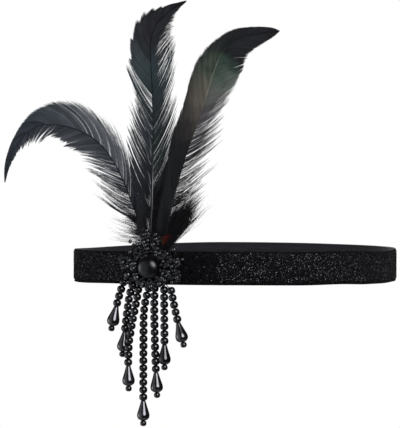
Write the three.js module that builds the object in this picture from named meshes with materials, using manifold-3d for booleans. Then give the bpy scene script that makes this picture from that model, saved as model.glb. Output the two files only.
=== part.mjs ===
// A flapper headband. An elastic glitter loop carries a beaded rosette at the front left, with a
// pearl cabochon in its middle, three cockerel feathers behind it and seven strands of round beads
// below it. Each strand ends in a drilled teardrop that a small stopper bead holds.
// Millimetres, +Z up. The origin is the middle of the head opening, half way up the band.
// -Y is the front as the headband is looked at, and X runs along the longer way of the loop.
import * as THREE from "three";
import { mergeVertices } from "three/addons/utils/BufferGeometryUtils.js";
import Module from "manifold-3d";

const wasm = await Module();
wasm.setup();

// Band
const bandLength = 184; // outside, the longer way, from brow to nape
const bandWidth = 142; // outside, from ear to ear
const bandHeight = 19; // a three-quarter inch elastic
const bandWall = 1.6; // elastic with its glitter pile
const bandEdge = 0.45; // rounding of the selvages
const bandSquareness = 2.2; // 2 is an ellipse, more is squarer
const bandSections = 54;

// Rosette
const rosetteTurn = 242.6; // degrees round the band, from +X, to the rosette's middle
const rosetteRise = 0.8; // its middle above the band's
const rosetteRadius = 10.5; // the round block that holds the quills
const petalHeight = 2.2; // how far the beaded petals stand off the block
const collarWidth = 1.8; // ring of beads round the cabochon
const collarHeight = 1.3;
const cabochonDiameter = 11.5;
const cabochonHeight = 4.8;
const cabochonGirdle = 1.2; // straight part of its edge

// Strands
const beadDiameter = 4;
const beadGap = 0.08;
const threadDiameter = 0.9; // doubled thread with the knots drawn into the beads
const threadRoot = 2.5; // how far a strand's thread goes into the block
const dropLength = 11;
const dropDiameter = 6.4;
const dropTopDiameter = 2.6;
const stopperDiameter = 2.7;

// Feathers
const leftFeatherLength = 159;
const centreFeatherLength = 156;
const rightFeatherLength = 163;
const vaneWidth = 14; // a vane's usual reach from the shaft
const vaneThickness = 0.8;
const vaneSpacing = 0.5; // free room from one feather's vanes to the next
const quillDiameter = 1.8;
const tipDiameter = 0.7; // the shaft's thickness at the feather's tip
const quillDepth = 8.5; // how far the quills go down into the rosette's block
const barbLockWidth = 2.4;

// What meets keeps this much room
const fitGap = 0.3;

// Edges of the elastic, drawn a little out of true, as shares of the band's height
const bandWaves = [
  { turn: 0, lower: 0.04, upper: 0 },
  { turn: 60, lower: 0, upper: 0.015 },
  { turn: 120, lower: 0.01, upper: 0.02 },
  { turn: 180, lower: 0, upper: 0 },
  { turn: 225, lower: 0.03, upper: 0.01 },
  { turn: 255, lower: -0.035, upper: 0 },
  { turn: 278, lower: 0.015, upper: -0.01 },
  { turn: 292, lower: -0.03, upper: 0 },
  { turn: 312, lower: 0.05, upper: 0.01 },
  { turn: 348, lower: 0.06, upper: 0 },
  { turn: 360, lower: 0.04, upper: 0 },
];

// Free petals of the rosette: angle from +X, reach from its middle and width, as shares of its radius
const petals = [
  { angle: 13, reach: 2.05, width: 0.62 },
  { angle: 46, reach: 1.4, width: 0.45 },
  { angle: 91, reach: 2, width: 0.84 },
  { angle: 134, reach: 1.85, width: 0.5 },
  { angle: 173, reach: 2.08, width: 0.62 },
  { angle: 205, reach: 1.74, width: 0.55 },
  { angle: 240, reach: 1.25, width: 0.5 },
  { angle: 270, reach: 1.2, width: 0.6 },
  { angle: 308, reach: 1.3, width: 0.5 },
  { angle: 341, reach: 2.1, width: 0.62 },
];

// A petal's outline from the rosette's middle to its tip, as shares of its reach, width and height
const petalOutline = [
  { out: 0, width: 0.6, height: 0.9 },
  { out: 0.66, width: 1, height: 1 },
  { out: 0.92, width: 0.75, height: 0.7 },
  { out: 1, width: 0.25, height: 0.35 },
];

// Strands from left to right. across is the first bead's place from the rosette's middle and drop
// its place below the block's rim, both in bead pitches. The leans are slopes in degrees: at the
// top, once settled, and at the teardrop. settle is how many beads that takes. front is 1 for a
// strand that hangs before its neighbour's teardrop.
const strands = [
  { beads: 4, across: -4, drop: -0.56, topLean: -22, midLean: -19, endLean: -13, settle: 2, front: 0 },
  { beads: 7, across: -2.88, drop: -0.12, topLean: -8, midLean: -11, endLean: -6, settle: 3, front: 0 },
  { beads: 12, across: -1.8, drop: -0.42, topLean: -7, midLean: -8, endLean: 0, settle: 4, front: 1 },
  { beads: 16, across: -0.5, drop: 0.18, topLean: -13, midLean: -2, endLean: 0, settle: 4, front: 0 },
  { beads: 12, across: 0.53, drop: 0.23, topLean: -1, midLean: -1, endLean: 2.4, settle: 3, front: 0 },
  { beads: 8, across: 1.8, drop: 0.4, topLean: 2, midLean: -1, endLean: 0, settle: 3, front: 0 },
  { beads: 5, across: 2.88, drop: 0.55, topLean: 13, midLean: 13, endLean: 18, settle: 2, front: 0 },
];

// A teardrop's outline from its top: how far down, and how wide, as shares of its length and width
const dropOutline = [
  { down: 0.3, width: 0.56 },
  { down: 0.55, width: 0.84 },
  { down: 0.74, width: 1 },
  { down: 0.88, width: 0.88 },
  { down: 1, width: 0.42 },
];

// The feathers' shafts and vanes, from quill to tip. along is a share of the feather's length and
// lean the shaft's slope in degrees, to the right of upright. left and right are the vanes' reach as
// shares of the usual one. A lock is how far loose barbs stand past the edge there, also in shares.
const feathers = [
  {
    name: "feather_left",
    length: leftFeatherLength,
    across: -1.2, // the quill's foot, in quill diameters from the rosette's middle
    layer: 0, // how many layers in front of the hindmost feather
    tilt: 5.5, // degrees back, once clear of the rosette
    rows: [
      { along: 0, lean: -8, left: 0, right: 0 },
      { along: 0.06, lean: -15, left: 0, right: 0 },
      { along: 0.1, lean: -19, left: 0.3, right: 0.15, lockLeft: 0.75 },
      { along: 0.14, lean: -22, left: 0.45, right: 0.3, lockLeft: 0.6 },
      { along: 0.18, lean: -25, left: 0.6, right: 0.4, lockLeft: 0.55 },
      { along: 0.22, lean: -26, left: 0.75, right: 0.5, lockLeft: 0.45 },
      { along: 0.27, lean: -26, left: 0.9, right: 0.56, lockLeft: 0.4 },
      { along: 0.32, lean: -25, left: 1, right: 0.62, lockLeft: 0.35 },
      { along: 0.4, lean: -32, left: 1.02, right: 0.74, lockLeft: 0.28 },
      { along: 0.48, lean: -51, left: 0.9, right: 0.85, lockLeft: 0.22 },
      { along: 0.56, lean: -70, left: 0.68, right: 0.94 },
      { along: 0.63, lean: -84, left: 0.58, right: 0.92 },
      { along: 0.7, lean: -97, left: 0.62, right: 0.76 },
      { along: 0.76, lean: -111, left: 0.6, right: 0.54, lockLeft: 0.15 },
      { along: 0.82, lean: -130, left: 0.44, right: 0.35 },
      { along: 0.88, lean: -147, left: 0.28, right: 0.21 },
      { along: 0.94, lean: -159, left: 0.15, right: 0.12 },
      { along: 1, lean: -169, left: 0.02, right: 0.02 },
    ],
  },
  {
    name: "feather_centre",
    length: centreFeatherLength,
    across: -0.1,
    layer: 1,
    tilt: 1.5,
    rows: [
      { along: 0, lean: 0, left: 0, right: 0 },
      { along: 0.06, lean: 2, left: 0, right: 0 },
      { along: 0.15, lean: 1, left: 0.42, right: 0.35 },
      { along: 0.24, lean: 0, left: 0.72, right: 0.52 },
      { along: 0.36, lean: -1, left: 0.98, right: 0.66, lockLeft: 0.2 },
      { along: 0.48, lean: -2, left: 1, right: 0.86, lockLeft: 0.18 },
      { along: 0.57, lean: -3, left: 0.9, right: 1 },
      { along: 0.66, lean: -2, left: 0.92, right: 0.97, lockLeft: 0.12 },
      { along: 0.74, lean: -4, left: 0.9, right: 1 },
      { along: 0.8, lean: 2, left: 0.78, right: 1 },
      { along: 0.85, lean: 26, left: 0.58, right: 0.9 },
      { along: 0.9, lean: 49, left: 0.36, right: 0.66 },
      { along: 0.95, lean: 61, left: 0.16, right: 0.26 },
      { along: 1, lean: 68, left: 0.02, right: 0.02 },
    ],
  },
  {
    name: "feather_right",
    length: rightFeatherLength,
    across: 2.4,
    layer: 2,
    tilt: -4.5,
    rows: [
      { along: 0, lean: 13, left: 0, right: 0 },
      { along: 0.06, lean: 14, left: 0, right: 0 },
      { along: 0.1, lean: 14, left: 0.2, right: 0.7, lockRight: 0.75 },
      { along: 0.14, lean: 14, left: 0.3, right: 1.1, lockRight: 0.9 },
      { along: 0.18, lean: 16, left: 0.36, right: 1.25, lockRight: 0.85 },
      { along: 0.23, lean: 17, left: 0.4, right: 1.1, lockRight: 0.75 },
      { along: 0.29, lean: 18, left: 0.46, right: 0.9, lockRight: 0.6 },
      { along: 0.35, lean: 20, left: 0.52, right: 0.95, lockRight: 0.45 },
      { along: 0.44, lean: 24, left: 0.7, right: 1, lockRight: 0.3 },
      { along: 0.54, lean: 20, left: 0.76, right: 1 },
      { along: 0.64, lean: 20, left: 0.8, right: 0.98 },
      { along: 0.72, lean: 24, left: 0.78, right: 0.98 },
      { along: 0.79, lean: 39, left: 0.58, right: 0.92 },
      { along: 0.85, lean: 63, left: 0.37, right: 0.74 },
      { along: 0.9, lean: 82, left: 0.24, right: 0.55 },
      { along: 0.95, lean: 91, left: 0.14, right: 0.3 },
      { along: 1, lean: 96, left: 0.04, right: 0.04 },
    ],
  },
];

// Counts and shares that shape the small forms
const vaneStations = 28; // sections along a feather
const vaneCup = 0.06; // how much a vane's edge falls back, as a share of its reach
const vaneRoot = 1.2; // the bare quill's reach to each side, in quill radii
const shaftFlat = 0.6; // the flat on a shaft's front and back, as a share of its width
const shaftTaper = 0.6; // below 1 the shaft thins out sooner
const barbLockRise = 38; // degrees from straight across, towards the tip
const beadSides = 10;
const beadLatitude = 42; // degrees from a bead's middle to the circles by its holes
const hiddenBeads = 2; // beads of a front strand that stay in the back layer, behind the petals
const petalSides = 6;
const quillRoomSides = 8;
const blockSides = 20;
const cabochonSides = 16;
const domeSteps = 4;

const radians = THREE.MathUtils.degToRad;
const beadRadius = beadDiameter / 2;
const beadPitch = beadDiameter + beadGap;
const threadRadius = threadDiameter / 2;
const quillRadius = quillDiameter / 2;

const glitterElastic = new THREE.MeshStandardMaterial({ color: 0x0b0b0d, roughness: 0.75, metalness: 0.2 });
const seedBeads = new THREE.MeshStandardMaterial({ color: 0x08080a, roughness: 0.25, metalness: 0 });
const blackPearl = new THREE.MeshStandardMaterial({ color: 0x101014, roughness: 0.2, metalness: 0.1 });
const hematiteBead = new THREE.MeshStandardMaterial({ color: 0x17171c, roughness: 0.12, metalness: 0.4 });
const blackFeather = new THREE.MeshStandardMaterial({ color: 0x0e1012, roughness: 0.6, metalness: 0 });

// A closed skin through rings of equally many points: capped at its ends, or joined into a loop.
// Its faces point out whichever way round the rings run.
function loft(rings, joined = false) {
  const sides = rings[0].length;
  const points = rings.flat();
  const faces = [];
  const spans = joined ? rings.length : rings.length - 1;
  for (let r = 0; r < spans; r++) {
    const here = r * sides;
    const there = ((r + 1) % rings.length) * sides;
    for (let s = 0; s < sides; s++) {
      const next = (s + 1) % sides;
      faces.push(here + s, here + next, there + next);
      faces.push(here + s, there + next, there + s);
    }
  }
  if (!joined) {
    const end = (rings.length - 1) * sides;
    for (let s = 1; s < sides - 1; s++) {
      faces.push(0, s + 1, s);
      faces.push(end, end + s, end + s + 1);
    }
  }
  let volume = 0;
  for (let f = 0; f < faces.length; f += 3) {
    const [a, b, c] = faces.slice(f, f + 3).map((corner) => points[corner]);
    volume += a.dot(b.clone().cross(c));
  }
  const geometry = new THREE.BufferGeometry().setFromPoints(points);
  geometry.setIndex(volume > 0 ? faces : faces.reverse());
  return geometry;
}

// A round skin about the rosette's axis, from a profile of radius and depth
function turned(profile, sides) {
  return new THREE.LatheGeometry(
    profile.map(([radius, depth]) => new THREE.Vector2(radius, depth)),
    sides,
  );
}

function toSolid(geometry) {
  const bare = geometry.clone();
  bare.deleteAttribute("normal");
  bare.deleteAttribute("uv");
  const merged = mergeVertices(bare, 1e-4);
  return new wasm.Manifold(
    new wasm.Mesh({
      numProp: 3,
      vertProperties: new Float32Array(merged.attributes.position.array),
      triVerts: new Uint32Array(merged.index.array),
    }),
  );
}

function toGeometry(solid) {
  const mesh = solid.getMesh();
  const geometry = new THREE.BufferGeometry();
  geometry.setAttribute("position", new THREE.BufferAttribute(mesh.vertProperties, mesh.numProp));
  geometry.setIndex(new THREE.BufferAttribute(mesh.triVerts, 1));
  return geometry;
}

function named(name, geometry, material) {
  geometry.computeVertexNormals();
  const mesh = new THREE.Mesh(geometry, material);
  mesh.name = name;
  return mesh;
}

// A column of a table at a place between its rows, on a straight line from row to row
function readTable(rows, key, place, column) {
  const found = rows.findIndex((row) => row[key] >= place);
  const upper = found < 0 ? rows.length - 1 : Math.max(found, 1);
  const a = rows[upper - 1];
  const b = rows[upper];
  const share = THREE.MathUtils.clamp((place - a[key]) / (b[key] - a[key]), 0, 1);
  return THREE.MathUtils.lerp(a[column], b[column], share);
}

// A point of the band's outer face at a turn round the loop, and the way out of it
function bandOutside(turn) {
  const signedPower = (value, power) => Math.sign(value) * Math.abs(value) ** power;
  const across = signedPower(Math.cos(radians(turn)), 2 / bandSquareness);
  const deep = signedPower(Math.sin(radians(turn)), 2 / bandSquareness);
  const point = new THREE.Vector3((across * bandLength) / 2, (deep * bandWidth) / 2, 0);
  const out = new THREE.Vector3(
    signedPower(across, bandSquareness - 1) / bandLength,
    signedPower(deep, bandSquareness - 1) / bandWidth,
    0,
  );
  return { point, out: out.normalize() };
}

function makeBand() {
  const rings = [];
  for (let i = 0; i < bandSections; i++) {
    const turn = (360 * i) / bandSections;
    const { point, out } = bandOutside(turn);
    const top = bandHeight * (0.5 + readTable(bandWaves, "turn", turn, "upper"));
    const bottom = bandHeight * (readTable(bandWaves, "turn", turn, "lower") - 0.5);
    const corner = (inward, z) => point.clone().addScaledVector(out, -inward).setZ(z);
    rings.push([
      corner(bandWall - bandEdge, top),
      corner(bandEdge, top),
      corner(0, top - bandEdge),
      corner(0, bottom + bandEdge),
      corner(bandEdge, bottom),
      corner(bandWall - bandEdge, bottom),
      corner(bandWall, bottom + bandEdge),
      corner(bandWall, top - bandEdge),
    ]);
  }
  return named("headband", loft(rings, true), glitterElastic);
}

// From here on everything is in the rosette's own frame: x along the band, y into the head from the
// band's outer face, and z up from the rosette's middle. The front is towards -y. The quills lie in
// the block one layer before the other, the strands' beads hang in the block's depth, and the petals
// and the cabochon stand before both.
const featherLayer = vaneThickness + vaneSpacing;
const backQuill = -(fitGap + quillRadius);
const frontQuill = backQuill - 2 * featherLayer;
const backStrand = -(2 * fitGap + beadRadius);
const frontStrandShift = dropDiameter / 2 + fitGap;
const blockFront = Math.min(frontQuill - quillRadius, backStrand - beadRadius) - fitGap;
const petalBack = blockFront - fitGap;
const petalFront = blockFront - petalHeight;

// The middle line of a feather's shaft, as points with their slope, from the foot to the tip
function shaftLine(feather) {
  const line = [];
  const place = new THREE.Vector3(
    feather.across * quillDiameter,
    backQuill - feather.layer * featherLayer,
    rosetteRadius - quillDepth,
  );
  const step = feather.length / vaneStations;
  const longestPetal = Math.max(...petals.map(({ reach }) => reach)) * rosetteRadius;
  for (let i = 0; i <= vaneStations; i++) {
    const along = i / vaneStations;
    const lean = radians(readTable(feather.rows, "along", along, "lean"));
    line.push({ along, lean, point: place.clone() });
    const back = place.z > longestPetal ? Math.tan(radians(feather.tilt)) : 0;
    place.add(new THREE.Vector3(Math.sin(lean), back, Math.cos(lean)).multiplyScalar(step));
  }
  return line;
}

// One blade: a shaft that tapers, and a thin vane to each side of it that falls back to its edge
function featherBlade(feather) {
  const rings = shaftLine(feather).map(({ along, lean, point }) => {
    const radius = THREE.MathUtils.lerp(quillRadius, tipDiameter / 2, along ** shaftTaper);
    const half = Math.min(vaneThickness / 2, radius * shaftFlat);
    const reach = (side) => vaneWidth * readTable(feather.rows, "along", along, side);
    const left = Math.max(radius * vaneRoot, reach("left"));
    const right = Math.max(radius * vaneRoot, reach("right"));
    const at = (side, depth) =>
      point.clone().add(new THREE.Vector3(side * Math.cos(lean), depth, -side * Math.sin(lean)));
    return [
      at(radius * shaftFlat, radius),
      at(right, right * vaneCup + half),
      at(right, right * vaneCup - half),
      at(radius * shaftFlat, -radius),
      at(-radius * shaftFlat, -radius),
      at(-left, left * vaneCup - half),
      at(-left, left * vaneCup + half),
      at(-radius * shaftFlat, radius),
    ];
  });
  return toSolid(loft(rings));
}

// A lock of loose barbs: a thin wedge from the shaft, past the vane's edge and rising to the tip.
// side is -1 for the left and 1 for the right.
function barbLock(feather, along, side, reach) {
  const { point, lean } = shaftLine(feather)[Math.round(along * vaneStations)];
  const half = vaneThickness / 2;
  const sections = [
    { out: 0, width: 0.9 },
    { out: 0.6, width: 1 },
    { out: 1, width: 0.25 },
  ];
  const rings = sections.map(({ out, width }) => {
    const across = side * reach * out;
    const rise = reach * out * Math.tan(radians(barbLockRise));
    const wide = (barbLockWidth / 2) * width;
    const corner = (up, depth) =>
      point
        .clone()
        .add(
          new THREE.Vector3(
            across * Math.cos(lean) + (rise + up) * Math.sin(lean),
            reach * out * vaneCup + depth,
            -across * Math.sin(lean) + (rise + up) * Math.cos(lean),
          ),
        );
    return [corner(-wide, -half), corner(wide, -half), corner(wide, half), corner(-wide, half)];
  });
  return toSolid(loft(rings));
}

function makeFeather(feather) {
  let solid = featherBlade(feather);
  for (const { along, left, right, lockLeft = 0, lockRight = 0 } of feather.rows) {
    if (lockLeft) solid = solid.add(barbLock(feather, along, -1, vaneWidth * (left + lockLeft)));
    if (lockRight) solid = solid.add(barbLock(feather, along, 1, vaneWidth * (right + lockRight)));
  }
  return named(feather.name, toGeometry(solid), blackFeather);
}

// The room that a quill needs in the block: its own line, wider by the gap, from below its foot to
// past the block's rim
function quillRoom(feather) {
  const room = (quillRadius * vaneRoot + fitGap) / Math.cos(Math.PI / quillRoomSides);
  const [foot, ...rest] = shaftLine(feather).filter(({ along }) => along * feather.length < 2 * rosetteRadius);
  foot.point.z -= fitGap;
  const rings = [foot, ...rest].map(({ lean, point }) => {
    const ring = [];
    for (let s = 0; s < quillRoomSides; s++) {
      const turn = (2 * Math.PI * (s + 0.5)) / quillRoomSides;
      const side = room * Math.sin(turn);
      const offset = new THREE.Vector3(side * Math.cos(lean), room * Math.cos(turn), -side * Math.sin(lean));
      ring.push(offset.add(point));
    }
    return ring;
  });
  return toSolid(loft(rings));
}

// The bead centres of a strand, with the strand's direction at each
function strandLine(strand) {
  const place = new THREE.Vector3(
    strand.across * beadPitch,
    backStrand,
    -(rosetteRadius + strand.drop * beadPitch),
  );
  const slopes = [
    { bead: 0, lean: strand.topLean },
    { bead: strand.settle, lean: strand.midLean },
    { bead: strand.beads - 1, lean: strand.endLean },
  ];
  const line = [];
  for (let i = 0; i < strand.beads; i++) {
    const lean = radians(readTable(slopes, "bead", i, "lean"));
    const along = new THREE.Vector3(Math.sin(lean), 0, -Math.cos(lean));
    const forward = strand.front * THREE.MathUtils.clamp((i - hiddenBeads) / strand.settle, 0, 1);
    line.push({ point: place.clone().setY(backStrand - forward * frontStrandShift), along });
    place.addScaledVector(along, beadPitch);
  }
  return line;
}

function ringAbout(centre, along, radius) {
  const side = new THREE.Vector3(0, 1, 0).cross(along).normalize();
  const front = along.clone().cross(side);
  const ring = [];
  for (let s = 0; s < beadSides; s++) {
    const turn = (2 * Math.PI * s) / beadSides;
    const offset = side.clone().multiplyScalar(radius * Math.cos(turn));
    ring.push(offset.addScaledVector(front, radius * Math.sin(turn)).add(centre));
  }
  return ring;
}

function beadRings({ point, along }, radius) {
  const latitude = radians(beadLatitude);
  return [-1, 0, 1].map((level) => {
    const centre = point.clone().addScaledVector(along, level * radius * Math.sin(latitude));
    return ringAbout(centre, along, level ? radius * Math.cos(latitude) : radius);
  });
}

function dropTop(line) {
  const last = line[line.length - 1];
  return last.point.clone().addScaledVector(last.along, beadRadius + beadGap);
}

// Beads on their thread, whose root lies in the block. grow makes the room that they need there
function strandRings(line, grow = 0) {
  const neckRadius = threadRadius + 2 * grow;
  const [{ point, along }] = line;
  const neck = point.clone().addScaledVector(along, -(beadRadius + grow));
  const out = new THREE.Vector3(neck.x, 0, neck.z);
  const rootReach = Math.min(out.length(), rosetteRadius) - threadRoot - grow;
  out.normalize();
  const bend = out.clone().add(along).normalize();
  const root = out.clone().multiplyScalar(rootReach).setY(neck.y);
  const rings = [ringAbout(root, out, neckRadius), ringAbout(neck, bend, neckRadius)];
  line.forEach((bead, i) => {
    if (i) {
      const between = line[i - 1].point.clone().lerp(bead.point, 0.5);
      rings.push(ringAbout(between, bead.along, neckRadius));
    }
    rings.push(...beadRings(bead, beadRadius + grow));
  });
  return rings;
}

function makeStrand(strand, name) {
  const line = strandLine(strand);
  const { point, along } = line[line.length - 1];
  const stopperRadius = stopperDiameter / 2;
  const stopper = dropTop(line).addScaledVector(along, dropLength + beadGap + stopperRadius);
  const threadRing = (centre, distance) =>
    ringAbout(centre.clone().addScaledVector(along, distance), along, threadRadius);
  const rings = [
    ...strandRings(line),
    threadRing(point, beadRadius),
    threadRing(stopper, -stopperRadius),
    ...beadRings({ point: stopper, along }, stopperRadius),
    threadRing(stopper, stopperRadius),
  ];
  return named(name, loft(rings), hematiteBead);
}

function makeTeardrop(strand, name) {
  const line = strandLine(strand);
  const { along } = line[line.length - 1];
  const top = dropTop(line);
  const bore = threadRadius + fitGap;
  const level = (share, radius) =>
    ringAbout(top.clone().addScaledVector(along, share * dropLength), along, radius);
  const rings = [
    level(0, bore),
    level(0, dropTopDiameter / 2),
    ...dropOutline.map(({ down, width }) => level(down, (width * dropDiameter) / 2)),
    level(1, bore),
  ];
  return named(name, loft(rings, true), hematiteBead);
}

function makePetal({ angle, reach, width }) {
  const out = new THREE.Vector3(Math.cos(radians(angle)), 0, Math.sin(radians(angle)));
  const side = new THREE.Vector3(out.z, 0, -out.x);
  const middle = (petalBack + petalFront) / 2;
  const halfDepth = (petalBack - petalFront) / 2;
  const halfWidth = (width * rosetteRadius) / 2;
  const rings = petalOutline.map((section) => {
    const centre = out.clone().multiplyScalar(reach * rosetteRadius * section.out).setY(middle);
    const ring = [];
    for (let s = 0; s < petalSides; s++) {
      const turn = (2 * Math.PI * s) / petalSides;
      const point = centre.clone().addScaledVector(side, halfWidth * section.width * Math.cos(turn));
      point.y += halfDepth * section.height * Math.sin(turn);
      ring.push(point);
    }
    return ring;
  });
  return toSolid(loft(rings));
}

function makeRosette() {
  const seatRadius = cabochonDiameter / 2 + fitGap;
  const collarRadius = seatRadius + collarWidth;
  const block = turned(
    [
      [0, petalFront],
      [seatRadius, petalFront],
      [seatRadius + collarWidth * 0.25, petalFront - collarHeight],
      [collarRadius, petalFront - collarHeight * 0.7],
      [(collarRadius + rosetteRadius) / 2, petalFront],
      [rosetteRadius, blockFront],
      [rosetteRadius, -fitGap],
      [0, -fitGap],
    ],
    blockSides,
  );
  let solid = toSolid(block);
  for (const row of petals) solid = solid.add(makePetal(row));
  for (const strand of strands) {
    const hidden = strandLine(strand).slice(0, hiddenBeads);
    solid = solid.subtract(toSolid(loft(strandRings(hidden, fitGap))));
  }
  for (const feather of feathers) solid = solid.subtract(quillRoom(feather));
  return named("bead_rosette", toGeometry(solid), seedBeads);
}

function makeCabochon() {
  const radius = cabochonDiameter / 2;
  const seat = petalFront - fitGap;
  const girdle = seat - cabochonGirdle;
  const profile = [
    [0, seat],
    [radius, seat],
    [radius, girdle],
  ];
  for (let i = 1; i < domeSteps; i++) {
    const turn = (Math.PI * i) / (2 * domeSteps);
    profile.push([radius * Math.cos(turn), girdle - (cabochonHeight - cabochonGirdle) * Math.sin(turn)]);
  }
  profile.push([0, seat - cabochonHeight]);
  return named("cabochon", turned(profile.reverse(), cabochonSides), blackPearl);
}

const ornament = new THREE.Group();
ornament.add(makeRosette(), makeCabochon());
strands.forEach((strand, i) => {
  ornament.add(makeStrand(strand, `bead_strand_${i + 1}`), makeTeardrop(strand, `teardrop_${i + 1}`));
});
feathers.forEach((feather) => ornament.add(makeFeather(feather)));
const seatOnBand = bandOutside(rosetteTurn);
ornament.position.copy(seatOnBand.point).setZ(rosetteRise);
ornament.rotation.z = Math.atan2(seatOnBand.out.x, -seatOnBand.out.y);

const headpiece = new THREE.Group();
headpiece.name = "flapper_headband";
headpiece.add(makeBand(), ornament);
export default headpiece;
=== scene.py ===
import math
import random

import bpy
from mathutils import Matrix, Vector, noise


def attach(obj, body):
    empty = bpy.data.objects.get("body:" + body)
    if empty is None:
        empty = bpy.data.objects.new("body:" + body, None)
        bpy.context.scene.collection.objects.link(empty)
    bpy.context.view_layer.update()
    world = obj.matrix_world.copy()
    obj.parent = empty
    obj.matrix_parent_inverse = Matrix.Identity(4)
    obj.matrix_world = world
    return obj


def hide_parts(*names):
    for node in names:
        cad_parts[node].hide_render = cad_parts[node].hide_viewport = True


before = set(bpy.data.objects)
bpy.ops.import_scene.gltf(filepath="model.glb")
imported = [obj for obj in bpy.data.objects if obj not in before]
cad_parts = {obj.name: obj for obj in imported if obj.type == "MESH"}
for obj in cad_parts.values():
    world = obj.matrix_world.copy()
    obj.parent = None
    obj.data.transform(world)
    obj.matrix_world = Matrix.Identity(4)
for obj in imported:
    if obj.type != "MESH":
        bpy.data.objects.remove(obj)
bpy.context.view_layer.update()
scene = bpy.context.scene
mm = 0.001
print("frame loaded:", len(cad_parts), "nodes")


# Small helpers

def table(columns, *rows):
    # rows of values under the names of their columns
    names = columns.split()
    return [dict(zip(names, row)) for row in rows]


def onCurve(a, b, leaving, arriving, t):
    # between a and b on a smooth curve, for numbers and for points
    return (
        a * (2 * t**3 - 3 * t**2 + 1) + leaving * (t**3 - 2 * t**2 + t)
        + b * (3 * t**2 - 2 * t**3) + arriving * (t**3 - t**2)
    )


def readTable(rows, place, column):
    # a column between its rows, on a smooth line through them
    places = [row["along"] for row in rows]
    values = [row[column] for row in rows]
    if place <= places[0]:
        return values[0]
    if place >= places[-1]:
        return values[-1]
    i = max(k for k in range(len(rows) - 1) if places[k] <= place)

    def slope(k):
        low, high = max(k - 1, 0), min(k + 1, len(rows) - 1)
        return (values[high] - values[low]) / (places[high] - places[low])

    span = places[i + 1] - places[i]
    t = (place - places[i]) / span
    rise = values[i + 1] - values[i]
    keep = 1 if rise else 0  # level stretches stay level
    return onCurve(values[i], values[i + 1], slope(i) * span * keep, slope(i + 1) * span * keep, t)


def clamp(value, low=0.0, high=1.0):
    return max(low, min(high, value))


def blend(a, b, share):
    return a + (b - a) * share


def signedPower(value, power):
    return math.copysign(abs(value) ** power, value)


def anglesRound(count, extra=0):
    return [2 * math.pi * i / count for i in range(count + extra)]


def addObject(name, mesh):
    piece = bpy.data.objects.new(name, mesh)
    scene.collection.objects.link(piece)
    return piece


def meshFrom(name, points, faces):
    mesh = bpy.data.meshes.new(name)
    mesh.from_pydata([tuple(p) for p in points], [], faces)
    mesh.update()
    mesh.shade_smooth()
    return mesh


def storeValues(mesh, name, values):
    # one number for each of the mesh's points
    mesh.attributes.new(name, "FLOAT", "POINT").data.foreach_set("value", values)


def skinRings(rings, joined=False):
    # quads through rings of equally many points, capped at the ends or joined into a loop
    sides, spans = len(rings[0]), len(rings) if joined else len(rings) - 1
    faces = []
    for r in range(spans):
        here, there = r * sides, (r + 1) % len(rings) * sides
        for s in range(sides):
            n = (s + 1) % sides
            faces.append((here + s, here + n, there + n, there + s))
    if not joined:
        faces.append(tuple(reversed(range(sides))))
        faces.append(tuple(range((len(rings) - 1) * sides, len(rings) * sides)))
    return [p for ring in rings for p in ring], faces


def turnedMesh(name, profile, sides, closed=True):
    # profile of (radius, height) pairs about Z; a closed one runs back down a bore
    rings = [
        [Vector((r * math.cos(a), r * math.sin(a), h)) for a in anglesRound(sides)] for r, h in profile
    ]
    return faceOut(meshFrom(name, *skinRings(rings, closed)))


def faceOut(mesh):
    # turns every face of a closed mesh outwards
    volume = 0.0
    mesh.calc_loop_triangles()
    for tri in mesh.loop_triangles:
        a, b, c = (mesh.vertices[i].co for i in tri.vertices)
        volume += a.dot(b.cross(c))
    if volume < 0:
        mesh.flip_normals()
    return mesh


def frameAbout(aim):
    # two directions square to aim
    side = Vector((0, 1, 0)).cross(aim)
    side = side.normalized() if side.length > 1e-6 else Vector((1, 0, 0))
    return side, aim.cross(side).normalized()


def tubeMesh(name, points, radii, sides):
    rings = []
    for i, point in enumerate(points):
        aim = (points[min(i + 1, len(points) - 1)] - points[max(i - 1, 0)]).normalized()
        side, front = frameAbout(aim)
        rings.append([
            point + side * radii[i] * math.cos(a) + front * radii[i] * math.sin(a)
            for a in anglesRound(sides)
        ])
    return faceOut(meshFrom(name, *skinRings(rings)))


def pointCloud(name, rows):
    # one vertex for each row, with the row's other entries as attributes
    mesh = bpy.data.meshes.new(name)
    mesh.from_pydata([tuple(row["at"]) for row in rows], [], [])
    for key, value in rows[0].items():
        if key == "at":
            continue
        if isinstance(value, Vector):
            data = mesh.attributes.new(key, "FLOAT_VECTOR", "POINT").data
            data.foreach_set("vector", [x for row in rows for x in row[key]])
        else:
            storeValues(mesh, key, [row[key] for row in rows])
    return mesh


def finishPiece(piece, slot, *nodes):
    # a piece rides on the one body there is
    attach(piece, "root")
    if nodes:
        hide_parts(*nodes)
    return piece


# Node trees

def wireUp(tree, node, wires):
    # each socket gets another node's output or a plain value
    for socket, source in wires.items():
        if isinstance(source, bpy.types.NodeSocket):
            tree.links.new(source, node.inputs[socket])
        else:
            node.inputs[socket].default_value = source


def addNode(tree, kind, wires=None, **settings):
    node = tree.nodes.new(kind)
    for key, value in settings.items():
        setattr(node, key, value)
    wireUp(tree, node, wires or {})
    return node


def calc(tree, operation, a, b=0.0, c=0.0):
    return addNode(tree, "ShaderNodeMath", {0: a, 1: b, 2: c}, operation=operation).outputs[0]


def times(tree, *factors):
    product = factors[0]
    for factor in factors[1:]:
        product = calc(tree, "MULTIPLY", product, factor)
    return product


def calcVector(tree, operation, a, b=None, scale=None):
    wires = {key: value for key, value in {0: a, 1: b, "Scale": scale}.items() if value is not None}
    return addNode(tree, "ShaderNodeVectorMath", wires, operation=operation).outputs[0]


def mixVector(tree, share, a, b):
    return addNode(tree, "ShaderNodeMix", {0: share, 4: a, 5: b}, data_type="VECTOR").outputs[1]


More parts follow.
